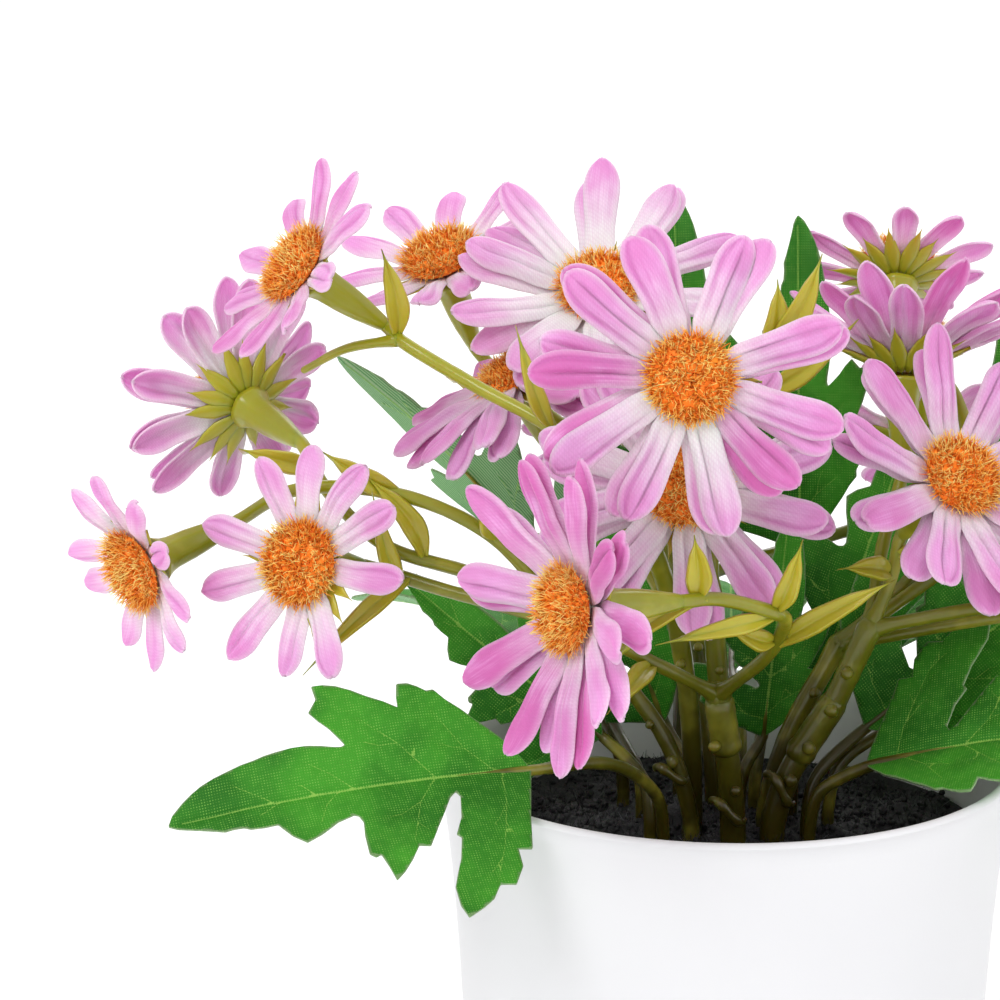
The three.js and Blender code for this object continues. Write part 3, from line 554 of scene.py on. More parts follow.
def tuft(seed):
    """A flattened dome of bristles, kept as a mesh that each disc takes a turned copy of"""
    rng = random.Random(seed)
    bm = bmesh.new()
    layers = new_marks(bm, "height", "tint")
    bmesh.ops.create_icosphere(bm, subdivisions=5, radius=1)
    low = [face for face in bm.faces if face.calc_center_median().z < 0.02]
    bmesh.ops.delete(bm, geom=low, context="FACES")
    spare = [face for face in bm.faces if rng.random() < DISC["spare"]]
    bmesh.ops.delete(bm, geom=spare, context="FACES")
    bmesh.ops.split_edges(bm, edges=bm.edges)
    for face in bm.faces:
        nudge = scatter(rng) * DISC["shift"]
        for vert in face.verts:
            vert.co = (vert.co + nudge) * DISC["dome"]
            vert.co.z *= DISC["flat"]
    bm.normal_update()
    spikes(bm, rng, layers, **BRISTLES)
    core = bmesh.ops.create_uvsphere(bm, u_segments=28, v_segments=14, radius=DISC["core"])["verts"]
    for vert in core:
        vert.co.z *= DISC["flat"]
    return mesh_from(bm, f"tuft {seed}")


def add_disc(name, bloom, tufts, material):
    """A disc of bristles whose underside follows the cup of the petals"""
    family = FAMILY[name]
    steep = slope(bloom["cup"])
    under = max(0.0, 1.07 * steep) + 0.02
    low = (1.4 if has_two_rings(bloom) else 1.1) + 1.5 * max(0.0, steep) + DISC["gap"] - 1.0
    bm = bmesh.new()
    bm.from_mesh(tufts[family % len(tufts)])
    bmesh.ops.rotate(bm, cent=(0, 0, 0), matrix=Matrix.Rotation(2.4 * family, 3, "Z"), verts=bm.verts)
    for vert in bm.verts:
        r = min(DISC["radius"], math.hypot(vert.co.x, vert.co.y))
        share = r / DISC["radius"]
        seat = low + under * DISC["radius"] * (0.55 + 0.45 * share ** 2)
        shrink = 1 if vert.co.z > 0 else 0.5
        vert.co.z = seat + 0.5 + vert.co.z * shrink
    bmesh.ops.transform(bm, matrix=bloom_matrix(bloom), verts=bm.verts)
    return stand(f"bristles_{name}", bm, [material], "disc", f"disc_{name}")


# Stems

def add_blade(bm, rows, columns, place, thickness, share_of, fine_from):
    """A moulded blade that is drawn out to a fine point beyond a share of its length"""
    start = len(bm.verts)
    _, faces, _ = sheet(bm, rows, columns, place)
    bmesh.ops.recalc_face_normals(bm, faces=faces)
    bmesh.ops.solidify(bm, geom=faces, thickness=thickness)
    for vert in list(bm.verts)[start:]:
        share = min(1.0, share_of(vert.co))
        if share > fine_from:
            vert.co = vert.co.lerp(place(share, 0), 0.88 * smooth(fine_from, 1, share))


def add_calyx(bm, bloom, thin):
    """The ribbed cup behind a bloom and its ring of narrow pointed sepals"""
    rise = slope(bloom["cup"] - (PETAL["flatter"] if has_two_rings(bloom) else 0)) - SEPAL["lean"]
    count = SEPAL["count"]
    for vert in turned(bm, CALYX, 4 * count):
        r = math.hypot(vert.co.x, vert.co.y)
        if r > 0.5:
            rib = 1 + 0.022 * math.cos(count / 2 * math.atan2(vert.co.y, vert.co.x)) * smooth(-15, -11, vert.co.z)
            vert.co.x *= rib
            vert.co.y *= rib
            vert.co.z += rise * max(0.0, r - 2.8)
    for i in range(count):
        out, left = outward(2 * math.pi * (i + 0.22 * draw(7, i)) / count)
        long = SEPAL["reach"] * (1 + 0.1 * draw(8, i))
        dip = 0.5 * draw(9, i)

        def place(s, t):
            r = SEPAL["root"] + (long - SEPAL["root"]) * s
            half = min(0.25 * r, SEPAL["width"] / 2 * (1 - s) ** 0.8) + 0.04
            keel = -0.5 * (1 - t * t) * (1 - 0.7 * s) + 0.12 * bump(abs(t), 0.6, 0.25)
            lift = rise * r - 0.05 + keel - (0.4 + dip) * s * s
            return out * r + left * half * t + Vector((0, 0, lift))

        add_blade(bm, 8, 4, place, SEPAL["thickness"],
                  lambda co: (co.dot(out) - SEPAL["root"]) / (long - SEPAL["root"]), 0.6)
    for vert in bm.verts:
        vert[thin] = smooth(3.5, 7, math.hypot(vert.co.x, vert.co.y))


def add_bract(bm, base, tip, mood):
    """A narrow blade-like bract, grooved along its middle, raised at its edges and drawn out to a fine point"""
    start = Vector(base)
    along = Vector(tip) - start
    across = Vector(BRACT["looks"]).cross(along).normalized()
    up = along.normalized().cross(across)
    bow = BRACT["bend"] * along.length
    sway = 0.13 * along.length * mood(1)
    wide = BRACT["width"] * (0.94 + 0.12 * mood(2))

    def place(u, t):
        u = 1.06 * u - 0.06
        if u < 0.36:
            half = 0.34 + 0.66 * math.sin(math.pi / 2 * max(0.0, u) / 0.36)
        else:
            x = (u - 0.36) / 0.64
            half = max(0.02, (1 - x) ** 1.05 * (1 + 0.5 * x))
        half *= wide / 2
        channel = 0.42 * half * abs(t) ** 1.7 - 0.24 * bump(t, 0, 0.14) + 0.09 * bump(abs(t), 0.5, 0.18)
        bend = sway * (u * u - u) * 4 * (1 - 0.5 * u)
        return start + along * u + across * (half * t + bend) + up * (bow * u * (1 - u) + channel - 0.2)

    add_blade(bm, 20, 12, place, BRACT["thickness"],
              lambda co: ((co - start).dot(along) / along.length_squared + 0.06) / 1.06, 0.7)


def add_knob(bm, at, radius):
    """A round moulding mark, half sunk in its stem"""
    verts = bmesh.ops.create_uvsphere(bm, u_segments=18, v_segments=10,
                                      radius=radius)["verts"]
    for vert in verts:
        vert.co *= 1 + 0.16 * noise.noise(vert.co * 0.9 + Vector(at))
        vert.co += Vector(at)


def collar(at, up, radius):
    """The way of a curled lip across the front of a stem"""
    turn = Vector((0, 0, 1)).rotation_difference(Vector(up).normalized())
    way = []
    for i in range(23):
        share = i / 22
        angle = math.radians(-190 + 175 * share)
        spot = Vector((radius * math.cos(angle), radius * math.sin(angle), 1.6 * math.sin(5.5 * share) - 1.2 * share))
        size = 0.3 + 0.55 * math.sin(math.pi * share) ** 0.6 + 0.14 * math.sin(19 * share)
        way.append((Vector(at) + turn @ spot, size))
    return way


def sleeve(low, high, radius):
    """The way of a close sleeve on a stem, with a rolled lip at its low end"""
    low, high = Vector(low), Vector(high)
    shape = [(-0.1, 0.72), (-0.04, 0.95), (0.02, 1.05), (0.09, 1.07), (0.16, 1.0), (0.3, 0.97), (0.45, 1.0),
             (0.6, 0.97), (0.8, 1.0), (0.93, 0.97), (1.0, 0.86), (1.05, 0.6)]
    return [(low.lerp(high, share), radius * size) for share, size in shape]


def add_spray(name, spray, material):
    """A trunk with its branches, twigs, moulding marks, calyxes and bracts in one piece"""
    bm = bmesh.new()
    thin, = new_marks(bm, "thin")
    step = 1.5
    ways = [swollen(rooted(*spray["foot"]) + spray["trunk"], spray["girth"], step, end=0.1, taper=0.12, dome=True)]
    ways += [swollen(path, 0.8 * BRANCH_RADIUS, step, start=0.3, taper=0.3, dome=True)
             for path in spray.get("twigs", [])]
    ways += [collar(*mark) for mark in COLLARS.get(name, [])]
    ways += [sleeve(*mark) for mark in SLEEVES.get(name, [])]
    for path, bloom_name in spray["branches"]:
        matrix = bloom_matrix(BLOOMS[bloom_name])
        ends = [tuple(matrix @ Vector((0, 0, -12 - depth))) for depth in (4, -3)]
        ways.append(swollen(list(path) + ends, BRANCH_RADIUS, step, start=0.7, dome=True))
        calyx = bmesh.new()
        add_calyx(calyx, BLOOMS[bloom_name], *new_marks(calyx, "thin"))
        bmesh.ops.transform(calyx, matrix=matrix, verts=calyx.verts)
        pour(calyx, bm)
    grown = len(bm.verts)
    for i, (base, tip) in enumerate(spray["bracts"]):
        add_bract(bm, base, tip, lambda k: draw(31 + len(name), 5 * i + k))
    for vert in list(bm.verts)[grown:]:
        vert[thin] = 1
    for at, radius in KNOBS.get(name, []):
        add_knob(bm, at, radius)
    add_tubes(bm, ways, 5)
    return stand(f"moulded_{name}", bm, [material], "stem", f"stem_{name}")


# Leaves

def cut(bm, point, normal, faces=None):
    """Cuts faces along a plane through a point"""
    faces = list(bm.faces) if faces is None else faces
    edges = {edge for face in faces for edge in face.edges}
    verts = {vert for face in faces for vert in face.verts}
    bmesh.ops.bisect_plane(bm, geom=list(verts) + list(edges) + faces, dist=1e-4, plane_co=point, plane_no=normal)


def from_vein(point, lines):
    """Distance from the nearest vein, in half widths of it"""
    nearest = VEIN["far"]
    for i, (a, b, wide, narrow) in enumerate(lines):
        along = b - a
        share = clamp((point - a).dot(along) / along.length_squared)
        away = (point - a - along * share).length / (wide + (narrow - wide) * share)
        nearest = min(nearest, away + VEIN["faint"] if i else away)
    return nearest


def add_leaf(name, design, number, materials):
    """A cut and printed cloth leaf with a moulded rib and stalk"""
    foot, stalk, base, tip, faces_way, width, arch = design
    start = Vector(base)
    along = Vector(tip) - start
    long = along.length
    along.normalize()
    across = Vector(faces_way).cross(along).normalized()
    up = along.cross(across)
    fold = math.radians(LEAF["fold"])

    def place(x, y, lift=0.0):
        u, v = x / long, y / width
        rise = arch * long * 4 * u * (1 - u) + abs(y) * math.sin(fold) + lift
        return start + along * x + across * (y * math.cos(fold)) + up * rise

    bm = bmesh.new()
    share, cloth = (bm.loops.layers.uv.new(key) for key in ("share", "cloth"))
    vein, rim, back = new_marks(bm, "vein", "rim", "back")
    outline = [(0, 0)] + EDGES[1] + [(1000, 0)] + [(u, -v) for u, v in reversed(EDGES[-1])]
    corners = [bm.verts.new((u / 1000 * long, v / 1000 * width, 0)) for u, v in outline]
    bm.faces.new(corners)
    bmesh.ops.bevel(bm, geom=corners, offset=LEAF["rounding"], offset_type="OFFSET", affect="VERTICES", segments=2,
                    profile=0.5, material=-1)
    lines = [(Vector((0, 0, 0)), Vector((0.97 * long, 0, 0)), *VEIN["midrib"])]
    for side, veins in VEINS.items():
        for points in veins:
            flat = [Vector((u / 1000 * long, side * (v / 1000) * width, 0)) for u, v in points]
            thick = VEIN["side"] if points[0][1] == 0 else VEIN["fine"]
            lines += [(a, b, thick * (1 - 0.25 * i), thick * (0.75 - 0.25 * i))
                      for i, (a, b) in enumerate(zip(flat, flat[1:]))]
    cell = 1.35
    cut(bm, (0, 0, 0), (0, 1, 0))
    for i in range(1, int(long / cell) + 1):
        cut(bm, (i * cell, 0, 0), (1, 0, 0))
    for y in [0.35, 0.8] + [i * cell for i in range(1, int(0.6 * width / cell) + 1)]:
        for side in (1, -1):
            cut(bm, (0, side * y, 0), (0, 1, 0))
    for a, b, _, _ in lines[1:]:
        middle, reach = (a + b) / 2, (b - a).length / 2 + 0.7 * cell
        near = [face for face in bm.faces if (face.calc_center_median() - middle).length < reach]
        if near:
            cut(bm, a, (b - a).cross(Vector((0, 0, 1))), near)
    bmesh.ops.remove_doubles(bm, verts=bm.verts, dist=0.02)

    # A face between two veins gets a point of its own, which keeps the fork of the veins open
    for vert in bm.verts:
        vert[vein] = from_vein(vert.co, lines)
    webs = [face for face in bm.faces if all(vert[vein] < VEIN["web"] for vert in face.verts)]
    for vert in bmesh.ops.poke(bm, faces=webs)["verts"]:
        vert[vein] = from_vein(vert.co, lines)
    border = {vert for edge in bm.edges if edge.is_boundary for vert in edge.verts}
    for face in bm.faces:
        for loop in face.loops:
            x, y = loop.vert.co.x, loop.vert.co.y
            loop[share].uv = (x / long, y / width + 0.5)
            loop[cloth].uv = (x * MM, y * MM)
    for vert in bm.verts:
        x, y, _ = vert.co
        vert[rim] = 1.0 if vert in border else 0.0
        off = abs(y) / width
        groove = -LEAF["groove"] * bump(vert[vein], 0, LEAF["groove_width"])
        wave = LEAF["wave"] * off * math.sin(0.16 * x + 2 * draw(number, 1) + (1.3 if y > 0 else 0))
        ripple = LEAF["ripple"] * noise.noise(Vector((x * 0.12, y * 0.12, number)))
        vert.co = place(x, y, groove + wave * 2 * off + ripple + 0.25)
    blade = list(bm.faces)
    bmesh.ops.recalc_face_normals(bm, faces=blade)
    if blade[0].normal.dot(up) < 0:
        bmesh.ops.reverse_faces(bm, faces=blade)
    bmesh.ops.solidify(bm, geom=blade, thickness=LEAF["thickness"])
    for face in bm.faces:
        if face.normal.dot(up) < -0.3:
            for vert in face.verts:
                vert[back] = 1
    cloth_faces = set(bm.faces)
    rib = [place(u * long, 0, -LEAF["seat"] * LEAF["stalk_radius"] - 0.35) for u in (0, 0.08, 0.2, 0.35, 0.5)]
    way = swollen(rooted(*foot) + stalk + rib, LEAF["stalk_radius"], 1.6)
    under = [(point, radius * (1 - 0.75 * smooth(0.45, 1, i / len(way)))) for i, (point, radius) in enumerate(way)]
    add_tubes(bm, [under], 3)
    for face in bm.faces:
        if face not in cloth_faces:
            face.material_index = 1
    return stand(f"leaf_cloth_{name}", bm, materials, "leaf", f"leaf_{name}")


# Pot and filling

def pot_radius(z):
    share = z / POT["height"]
    return POT["foot_radius"] + POT["taper"] * share + POT["flare"] * share ** POT["flare_power"]


def add_pot(material):
    """The pot, turned from one outline: foot, wall, round lip, inside and floor"""
    top, wall, floor = POT["height"], POT["wall"], POT["floor"]
    foot = [(pot_radius(0) - 1.6, 0.0), (pot_radius(0) - 0.8, 0.18), (pot_radius(0) - 0.2, 0.75)]
    levels = [2 + i * (top - 3) / 28 for i in range(29)]
    outer = [(pot_radius(z), z) for z in levels]
    middle = pot_radius(top) - wall / 2
    lip = [(middle + wall / 2 * math.cos(a), top - 0.9 + 0.9 * math.sin(a))
           for a in (math.pi * i / 10 for i in range(0, 11))]
    inner = [(pot_radius(z) - wall, z) for z in reversed(levels) if z > floor + 1]
    bm = bmesh.new()
    turned(bm, [(0, 0.6), (pot_radius(0) - 5, 0.6), (pot_radius(0) - 4.2, 0.0)] + foot + outer + lip + inner
           + [(pot_radius(floor) - wall - 1, floor), (0, floor)], 160)
    return stand("pot_shell", bm, [material], "pot", "pot")


def soil_height(x, y):
    """The lumpy top of the filling"""
    lump = math.sin(x * 0.31 + 1) * math.cos(y * 0.27) + 0.6 * math.sin(x * 0.17 - y * 0.23)
    clods = noise.fractal(Vector((x, y, 3)) * 0.28, 0.8, 2.1, 3) * 0.9
    grit = noise.noise(Vector((x, y, 7)) * 1.1) * 0.5
    return SOIL_TOP + SOIL_BUMP * lump + clods + grit


def add_crumbs(bm, rng, reach, handfuls):
    """Matted crumbs of fibre on the filling, strewn by the handful of 45, each of twelve points"""
    crumbs = bmesh.new()
    new_marks(crumbs, "height", "tint")
    for _ in range(45):
        bmesh.ops.create_icosphere(crumbs, subdivisions=1, radius=1)
    mesh = mesh_from(crumbs, "crumbs")
    for _ in range(handfuls):
        start = len(bm.verts)
        bm.from_mesh(mesh)
        made = list(bm.verts)[start:]
        for i in range(0, len(made), 12):
            out, angle = reach * math.sqrt(rng.random()), rng.uniform(0, 2 * math.pi)
            x, y = out * math.cos(angle), out * math.sin(angle)
            spot = Vector((x, y, soil_height(x, y) + 0.1))
            size = rng.uniform(0.25, 0.85)
            for vert in made[i:i + 12]:
                vert.co = spot + vert.co * size * rng.uniform(0.55, 1.15)
    bpy.data.meshes.remove(mesh)


def add_soil(material):
    """The filling, with loose fibres and crumbs on its top"""
    rng = random.Random(5)
    edge = pot_radius(SOIL_TOP) - POT["wall"] - SOIL_GAP
    low = POT["floor"] + SOIL_GAP
    bm = bmesh.new()
    _, tint = new_marks(bm, "height", "tint")
    rings, cells = ((70, 74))
    top = [(edge * i / rings, SOIL_TOP) for i in range(rings + 1)]
    turned(bm, top + [(pot_radius(low) - POT["wall"] - SOIL_GAP, low), (0, low)], 180)
    for vert in bm.verts:
        if vert.co.z > SOIL_TOP - 1:
            rim = smooth(edge - 1.5, edge, math.hypot(vert.co.x, vert.co.y))
            height = soil_height(vert.co.x, vert.co.y)
            vert.co.z = height + (SOIL_TOP - 0.4 - height) * rim
            vert[tint] = 0.5
    fibres = bmesh.new()
    layers = new_marks(fibres, "height", "tint")
    bmesh.ops.create_grid(fibres, x_segments=cells, y_segments=cells, size=edge)
    bmesh.ops.triangulate(fibres, faces=fibres.faces)
    outside = [face for face in fibres.faces if math.hypot(*face.calc_center_median().xy) > edge - 3.2]
    bmesh.ops.delete(fibres, geom=outside, context="FACES")
    bmesh.ops.split_edges(fibres, edges=fibres.edges)
    for face in fibres.faces:
        nudge = Vector((rng.uniform(-1, 1), rng.uniform(-1, 1), 0)) * 0.8
        centre = face.calc_center_median() + nudge
        height = soil_height(centre.x, centre.y)
        for vert in face.verts:
            vert.co += nudge
            vert.co.z = height - 0.15
    fibres.normal_update()
    spikes(fibres, rng, layers, **FIBRES)
    for vert in fibres.verts:
        if math.hypot(vert.co.x, vert.co.y) > edge - 0.6:
            vert.co.x *= 0.97
            vert.co.y *= 0.97
    pour(fibres, bm)
    add_crumbs(bm, rng, edge - 1.2, 40)
    return stand("black_fibre", bm, [material], "soil", "soil")


# Materials

def linear(colour):
    """An sRGB hex value as a linear colour"""
    parts = [int(colour[i:i + 2], 16) / 255 for i in (1, 3, 5)]
    return [p / 12.92 if p <= 0.04045 else ((p + 0.055) / 1.055) ** 2.4 for p in parts] + [1.0]


def put(tree, kind, inputs=(), output=0, **settings):
    """Adds a node and gives one of its outputs. Its inputs come in the node's own order, or by name or number, and
    each is a value, a hex colour or another node's output."""
    made = tree.nodes.new(kind)
    for key, value in settings.items():
        setattr(made, key, value)
    for key, value in inputs.items() if isinstance(inputs, dict) else enumerate(inputs):
        if isinstance(value, bpy.types.NodeSocket):
            tree.links.new(value, made.inputs[key])
        else:
            made.inputs[key].default_value = linear(value) if isinstance(value, str) else value
    return made.outputs[output]


def new_material(name, roughness, **sockets):
    """A material and its tree, with the shader's own sockets set by name"""
    material = bpy.data.materials.new(name)
    material.use_nodes = True
    tree = material.node_tree
    shader = tree.nodes["Principled BSDF"]
    shader.inputs["Roughness"].default_value = roughness
    for key, value in sockets.items():
        shader.inputs[key.replace("_", " ")].default_value = value
    return material, tree


def dressed(material, colour, relief=None):
    """A material whose shader has been joined to its colour and its relief"""
    tree = material.node_tree
    sockets = tree.nodes["Principled BSDF"].inputs
    tree.links.new(colour, sockets["Base Color"])
    if relief:
        tree.links.new(relief, sockets["Normal"])
    return material


# Short names for the nodes that the materials use most, and for their settings. A range takes a value, where it
# starts and ends, and what it gives at each of the two. TIMES is a * b, and MORE is a * b + c.
MIX, RANGE, MATH = "ShaderNodeMix", "ShaderNodeMapRange", "ShaderNodeMath"
NOISE, WAVE, BUMP = "ShaderNodeTexNoise", "ShaderNodeTexWave", "ShaderNodeBump"
MARK, COORDS, UV = "ShaderNodeAttribute", "ShaderNodeTexCoord", "ShaderNodeUVMap"
BLEND = dict(output=2, data_type="RGBA")
EASE = dict(interpolation_type="SMOOTHSTEP")
TIMES = dict(operation="MULTIPLY")
MORE = dict(operation="MULTIPLY_ADD")


def petal_cloth():
    """Printed woven polyester: pale at the root, orchid pink beyond, with a fine canvas and a soft sheen"""
    material, tree = new_material("petal woven polyester", 0.62, Sheen_Weight=0.15, Sheen_Roughness=0.4,
                                  Specular_IOR_Level=0.2, Subsurface_Weight=0.55, Subsurface_Scale=0.0025,
                                  Subsurface_Radius=(1.0, 0.6, 0.8))
    share, cloth = (put(tree, UV, uv_map=key) for key in ("share", "cloth"))
    along = put(tree, "ShaderNodeSeparateXYZ", [share])
    pink, blush, inset, hem = (put(tree, MARK, attribute_name=key, output="Fac")
                               for key in ("pink", "blush", "inset", "hem"))
    # The ink starts at a blotchy line and runs out in streaks along the petal
    blotch = put(tree, NOISE, {"Vector": cloth, "Scale": 190.0, "Detail": 3.0})
    stretch = put(tree, "ShaderNodeVectorMath", [share, (2.5, 16.0, 1.0)], **TIMES)
    streak = put(tree, NOISE, {"Vector": stretch, "Scale": 1.0, "Detail": 3.0})
    ragged = put(tree, MATH, [blotch, 0.34, along], **MORE)
    ragged = put(tree, MATH, [streak, 0.3, ragged], **MORE)
    ragged = put(tree, MATH, [pink, 0.5, ragged], **MORE)
    ink = put(tree, RANGE, [ragged, 0.64, 1.48], **EASE)
    inner = put(tree, RANGE, [inset, 0.0, 1.1, 0.6], **EASE)
    ink = put(tree, MATH, [ink, inner], **TIMES)
    colour = put(tree, MIX, {0: ink, 6: "#F0E6EA", 7: "#DE9ACE"}, **BLEND)
    cloud = put(tree, NOISE, {"Vector": cloth, "Scale": 120.0, "Detail": 2.0})
    cloud = put(tree, MATH, [streak, 0.5, cloud], **MORE)
    cloud = put(tree, MATH, [blush, 0.22, cloud], **MORE)
    deep = put(tree, RANGE, [cloud, 0.6, 0.92], **EASE)
    deep = put(tree, MATH, [deep, ink], **TIMES)
    strong = put(tree, MATH, [blush, 0.8, 0.2], **MORE)
    deep = put(tree, MATH, [deep, strong], **TIMES)
    colour = put(tree, MIX, {0: deep, 6: colour, 7: "#BE589A"}, **BLEND)
    # The hem pressed about 1.2 mm inside the cut edge, sunk in the relief and darkened in the ink as painted shade in
    # its groove
    line = put(tree, MATH, [inset, 1.2], operation="SUBTRACT")
    line = put(tree, MATH, [line], operation="ABSOLUTE")
    line = put(tree, RANGE, [line, 0.6, 0.05], **EASE)
    line = put(tree, MATH, [line, hem], **TIMES)
    # Painted shade: the ink is made deeper along the hem groove
    hem_painted_shade = put(tree, MATH, [line, ink], **TIMES)
    hem_painted_shade = put(tree, MATH, [hem_painted_shade, 0.5], **TIMES)
    colour = put(tree, MIX, {0: hem_painted_shade, 6: colour, 7: "#C068A8"}, **BLEND)
    # Threads about 0.4 mm apart, warp and weft
    warp = put(tree, WAVE, {"Vector": cloth, "Scale": 760.0, "Distortion": 0.8, "Detail": 1.0},
               bands_direction="DIAGONAL", output="Fac")
    weft = put(tree, WAVE, {"Vector": cloth, "Scale": 900.0, "Distortion": 0.8, "Detail": 1.0},
               bands_direction="X", output="Fac")
    canvas = put(tree, MATH, [warp, weft], **TIMES)
    dark = put(tree, RANGE, [canvas, 0.45, 0.05, 0.0, 0.13])
    colour = put(tree, MIX, {0: dark, 6: colour, 7: "#B06098"}, **BLEND)
    relief = put(tree, BUMP, {"Height": canvas, "Strength": 0.35, "Distance": 0.00012})
    sunk = put(tree, MATH, [line, -1.0], **TIMES)
    relief = put(tree, BUMP, {"Height": sunk, "Strength": 0.7, "Distance": 0.0003, "Normal": relief})
    return dressed(material, colour, relief)


def bristle():
    """Dyed nylon bristles: yellow-orange tips over an orange depth, each of its own shade, a little glossy"""
    material, tree = new_material("disc nylon bristles", 0.5, Specular_IOR_Level=0.18)
    place = put(tree, COORDS, output="Object")
    height, tint = (put(tree, MARK, attribute_name=key, output="Fac") for key in ("height", "tint"))
    # Yellower and redder tufts a few millimetres across
    cloud = put(tree, NOISE, {"Vector": place, "Scale": 230.0, "Detail": 1.0})
    shade = put(tree, MATH, [cloud, 1.9, tint], **MORE)
    shade = put(tree, RANGE, [shade, 0.95, 1.9], **EASE)
    tips = put(tree, MIX, {0: shade, 6: "#FFAE3E", 7: "#FFEA8C"}, **BLEND)
    odd = put(tree, RANGE, [tint, 0.9, 0.95], **EASE)
    tips = put(tree, MIX, {0: odd, 6: tips, 7: "#F4641E"}, **BLEND)
    depth = put(tree, MIX, {0: shade, 6: "#FC8626", 7: "#FFAA38"}, **BLEND)
    rising = put(tree, RANGE, [height, 0.05, 0.9], **EASE)
    colour = put(tree, MIX, {0: rising, 6: depth, 7: tips}, **BLEND)
    return dressed(material, colour)


def moulded():
    """Moulded polyethylene, a little translucent: yellow-olive above and darker olive brown towards the soil, which is
    painted shade under the foliage, and glossy
    """
    material, tree = new_material("stem moulded polyethylene", 0.3, IOR=1.5, Coat_Weight=0.35, Coat_Roughness=0.08,
                                  Subsurface_Weight=0.25, Subsurface_Scale=0.003, Specular_IOR_Level=0.3)
    place = put(tree, COORDS, output="Object")
    height = put(tree, "ShaderNodeSeparateXYZ", [place], output="Z")
    thin = put(tree, MARK, attribute_name="thin", output="Fac")
    stain = put(tree, NOISE, {"Vector": place, "Scale": 110.0, "Detail": 3.0})
    # Painted shade: the colour darkens towards the soil, where the leaves and blooms shade the trunks
    raised = put(tree, MATH, [stain, 0.03, height], **MORE)
    low = put(tree, RANGE, [raised, 0.092, 0.13], **EASE)
    colour = put(tree, MIX, {0: low, 6: "#3A3406", 7: "#6C6E14"}, **BLEND)
    high = put(tree, RANGE, [raised, 0.12, 0.165], **EASE)
    colour = put(tree, MIX, {0: high, 6: colour, 7: "#98981E"}, **BLEND)
    thinned = put(tree, MATH, [thin, 0.75], **TIMES)
    colour = put(tree, MIX, {0: thinned, 6: colour, 7: "#B2A92A"}, **BLEND)
    pale = put(tree, RANGE, [stain, 0.5, 0.72, 0.0, 0.3], **EASE)
    colour = put(tree, MIX, {0: pale, 6: colour, 7: "#C0B748"}, **BLEND)
    fine = put(tree, NOISE, {"Vector": place, "Scale": 420.0, "Detail": 2.0})
    relief = put(tree, BUMP, {"Height": fine, "Strength": 0.4, "Distance": 0.0004})
    return dressed(material, colour, relief)


def leaf_cloth():
    """Printed woven polyester: mid green with a canvas grain, thin printed veins, a paler back and a frayed edge"""
    material, tree = new_material("leaf woven polyester", 0.58, Specular_IOR_Level=0.2)
    cloth = put(tree, UV, uv_map="cloth")
    vein, rim, back = (put(tree, MARK, attribute_name=key, output="Fac") for key in ("vein", "rim", "back"))
    patch = put(tree, NOISE, {"Vector": cloth, "Scale": 45.0, "Detail": 4.0})
    speck = put(tree, NOISE, {"Vector": cloth, "Scale": 800.0, "Detail": 2.0})
    # A canvas of threads about 0.45 mm apart
    warp = put(tree, WAVE, {"Vector": cloth, "Scale": 700.0, "Distortion": 0.3}, bands_direction="X", output="Fac")
    weft = put(tree, WAVE, {"Vector": cloth, "Scale": 700.0, "Distortion": 0.3}, bands_direction="Y", output="Fac")
    canvas = put(tree, MATH, [warp, weft], **TIMES)
    tone = put(tree, RANGE, [patch, 0.35, 0.68], **EASE)
    colour = put(tree, MIX, {0: tone, 6: "#1E640E", 7: "#3C9020"}, **BLEND)
    threads = put(tree, RANGE, [canvas, 0.35, 0.8], **EASE)
    spots = put(tree, RANGE, [speck, 0.4, 0.62, 0.14, 0.66], **EASE)
    dots = put(tree, MATH, [threads, spots], **TIMES)
    colour = put(tree, MIX, {0: dots, 6: colour, 7: "#82BC50"}, **BLEND)
    # The print shows through the back, where the thicker threads stand out as pale stripes
    stripes = put(tree, MIX, {0: weft, 6: "#5C9E62", 7: "#B2D2A6"}, **BLEND)
    reverse = put(tree, MATH, [back, 0.72], **TIMES)
    colour = put(tree, MIX, {0: reverse, 6: colour, 7: stripes}, **BLEND)
    # The veins are printed through the canvas, so they break up thread by thread
    frayed = put(tree, MATH, [speck, 1.5, vein], **MORE)
    frayed = put(tree, MATH, [canvas, -0.6, frayed], **MORE)
    printed = put(tree, RANGE, [frayed, 1.75, 0.75, 0.0, 0.62], **EASE)
    colour = put(tree, MIX, {0: printed, 6: colour, 7: "#9CC75A"}, **BLEND)
    edge = put(tree, RANGE, [rim, 0.6, 1.0, 0.0, 0.5], **EASE)
    colour = put(tree, MIX, {0: edge, 6: colour, 7: "#8E9C78"}, **BLEND)
    relief = put(tree, BUMP, {"Height": canvas, "Strength": 0.45, "Distance": 0.00015})
    return dressed(material, colour, relief)


def pot_plastic():
    """Smooth moulded polypropylene, white and matt"""
    material, tree = new_material("pot moulded polypropylene", 0.42, IOR=1.49)
    place = put(tree, COORDS, output="Object")
    cloud = put(tree, NOISE, {"Vector": place, "Scale": 25.0, "Detail": 2.0})
    colour = put(tree, MIX, {0: cloud, 6: "#D6D6D9", 7: "#DCDCDE"}, **BLEND)
    fine = put(tree, NOISE, {"Vector": place, "Scale": 1500.0, "Detail": 2.0})
    relief = put(tree, BUMP, {"Height": fine, "Strength": 0.08, "Distance": 0.0001})
    return dressed(material, colour, relief)


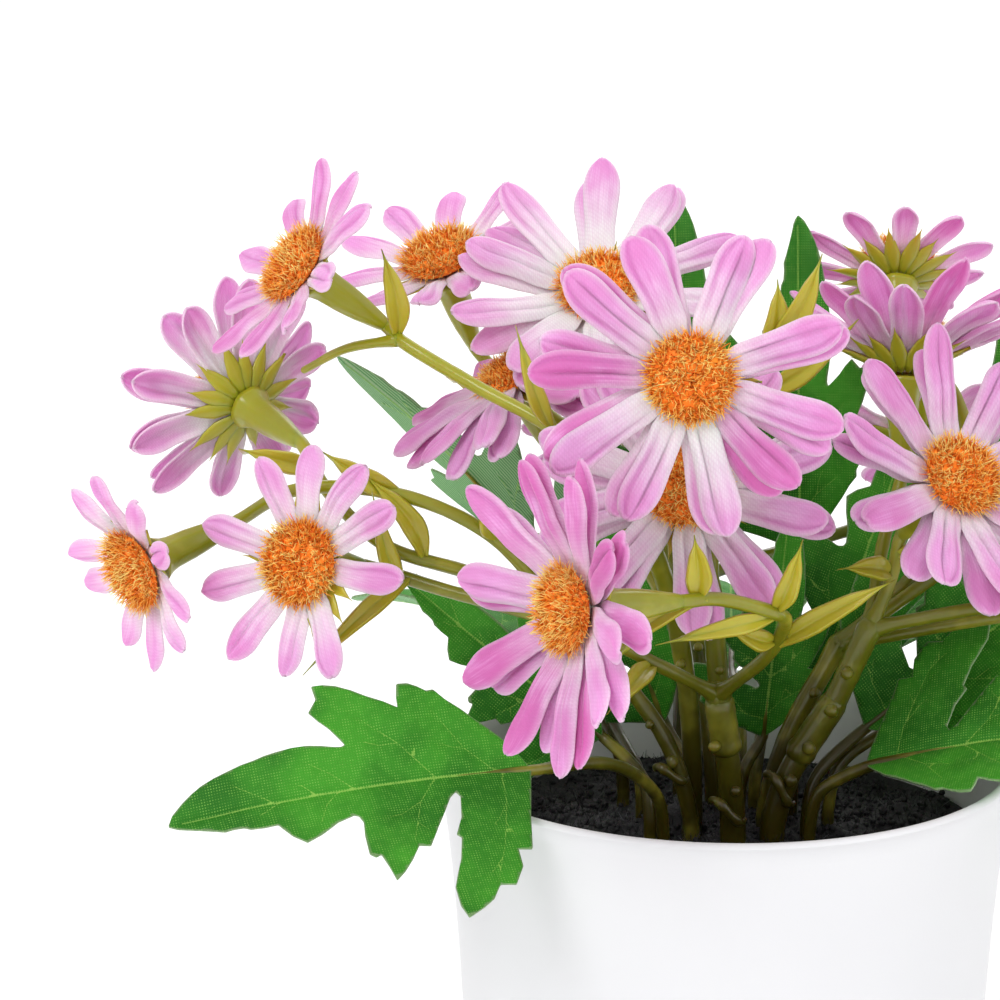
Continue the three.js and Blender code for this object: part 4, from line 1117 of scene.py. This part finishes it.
def fibre():
    """Dyed black fibre, dull, with a few hairs painted pale bluish grey as glints"""
    material, tree = new_material("soil dyed fibre", 0.7, Specular_IOR_Level=0.5)
    place = put(tree, COORDS, output="Object")
    tint = put(tree, MARK, attribute_name="tint", output="Fac")
    lump = put(tree, NOISE, {"Vector": place, "Scale": 600.0, "Detail": 4.0})
    colour = put(tree, MIX, {0: lump, 6: "#08080A", 7: "#202024"}, **BLEND)
    # Painted glints: a few hairs are made pale bluish grey
    pale = put(tree, RANGE, [tint, 0.93, 0.97, 0.0, 0.75], **EASE)
    colour = put(tree, MIX, {0: pale, 6: colour, 7: "#6E6E74"}, **BLEND)
    relief = put(tree, BUMP, {"Height": lump, "Strength": 1.0, "Distance": 0.0008})
    return dressed(material, colour, relief)


# Build

PETAL_CLOTH = petal_cloth()
BRISTLE = bristle()
MOULDED = moulded()
LEAF_CLOTH = leaf_cloth()

add_pot(pot_plastic())
add_soil(fibre())
for name, spray in SPRAYS.items():
    add_spray(name, spray, MOULDED)
for number, (name, design) in enumerate(LEAVES.items(), 1):
    add_leaf(name, design, number, [LEAF_CLOTH, MOULDED])
TUFTS = [tuft(seed) for seed in (11, 12, 13)]
for name, bloom in BLOOMS.items():
    add_petals(name, bloom, PETAL_CLOTH)
    add_disc(name, bloom, TUFTS, BRISTLE)
for mesh in TUFTS:
    bpy.data.meshes.remove(mesh)


# Floor, light and camera, in metres
PLANT_MIDDLE = (0, 0, 0.12)


def paper():
    """Plain white backdrop paper"""
    material, tree = new_material("backdrop paper", 0.9)
    place = put(tree, COORDS, output="Object")
    cloud = put(tree, NOISE, {"Vector": place, "Scale": 4.0})
    colour = put(tree, MIX, {0: cloud, 6: "#FCFCFC", 7: "#FFFFFF"}, **BLEND)
    return dressed(material, colour)


def add_floor(size):
    bm = bmesh.new()
    bmesh.ops.create_grid(bm, x_segments=1, y_segments=1, size=size)
    mesh = mesh_from(bm, "floor")
    mesh.materials.append(paper())
    floor = put_in_scene("floor", mesh)


def add_light(name, place, size, power):
    """A soft square light that looks at the plant"""
    light = bpy.data.lights.new(name, "AREA")
    light.size = size
    light.energy = power
    lamp = put_in_scene(name, light)
    lamp.location = place
    lamp.rotation_euler = (Vector(PLANT_MIDDLE) - Vector(place)).to_track_quat("-Z", "Y").to_euler()


def add_world(strength):
    """Even white light from all sides"""
    world = bpy.data.worlds.new("studio")
    world.use_nodes = True
    surround = world.node_tree.nodes["Background"].inputs
    surround["Color"].default_value = (1, 1, 1, 1)
    surround["Strength"].default_value = strength
    bpy.context.scene.world = world
    bpy.context.scene.view_settings.view_transform = "Standard"


def add_camera(place, tilt, lens):
    """The camera that matches the photo, tilted up from straight down by some degrees"""
    camera = bpy.data.cameras.new("camera")
    camera.lens = lens
    camera.sensor_width = 36
    camera.clip_start = 0.01
    eye = put_in_scene("camera", camera)
    eye.location = place
    eye.rotation_euler = (math.radians(tilt), 0, 0)
    bpy.context.scene.camera = eye


add_floor(size=4)
add_light("key light", place=(-0.7, -1.1, 1.3), size=0.7, power=11)
add_light("fill light", place=(1.3, -0.8, 0.7), size=1.2, power=4)
add_light("back light", place=(0.2, 1.3, 1.1), size=1.0, power=6)
add_world(strength=0.95)
add_camera(place=(-0.03857, -0.66814, 0.29999), tilt=75.9, lens=147.6)
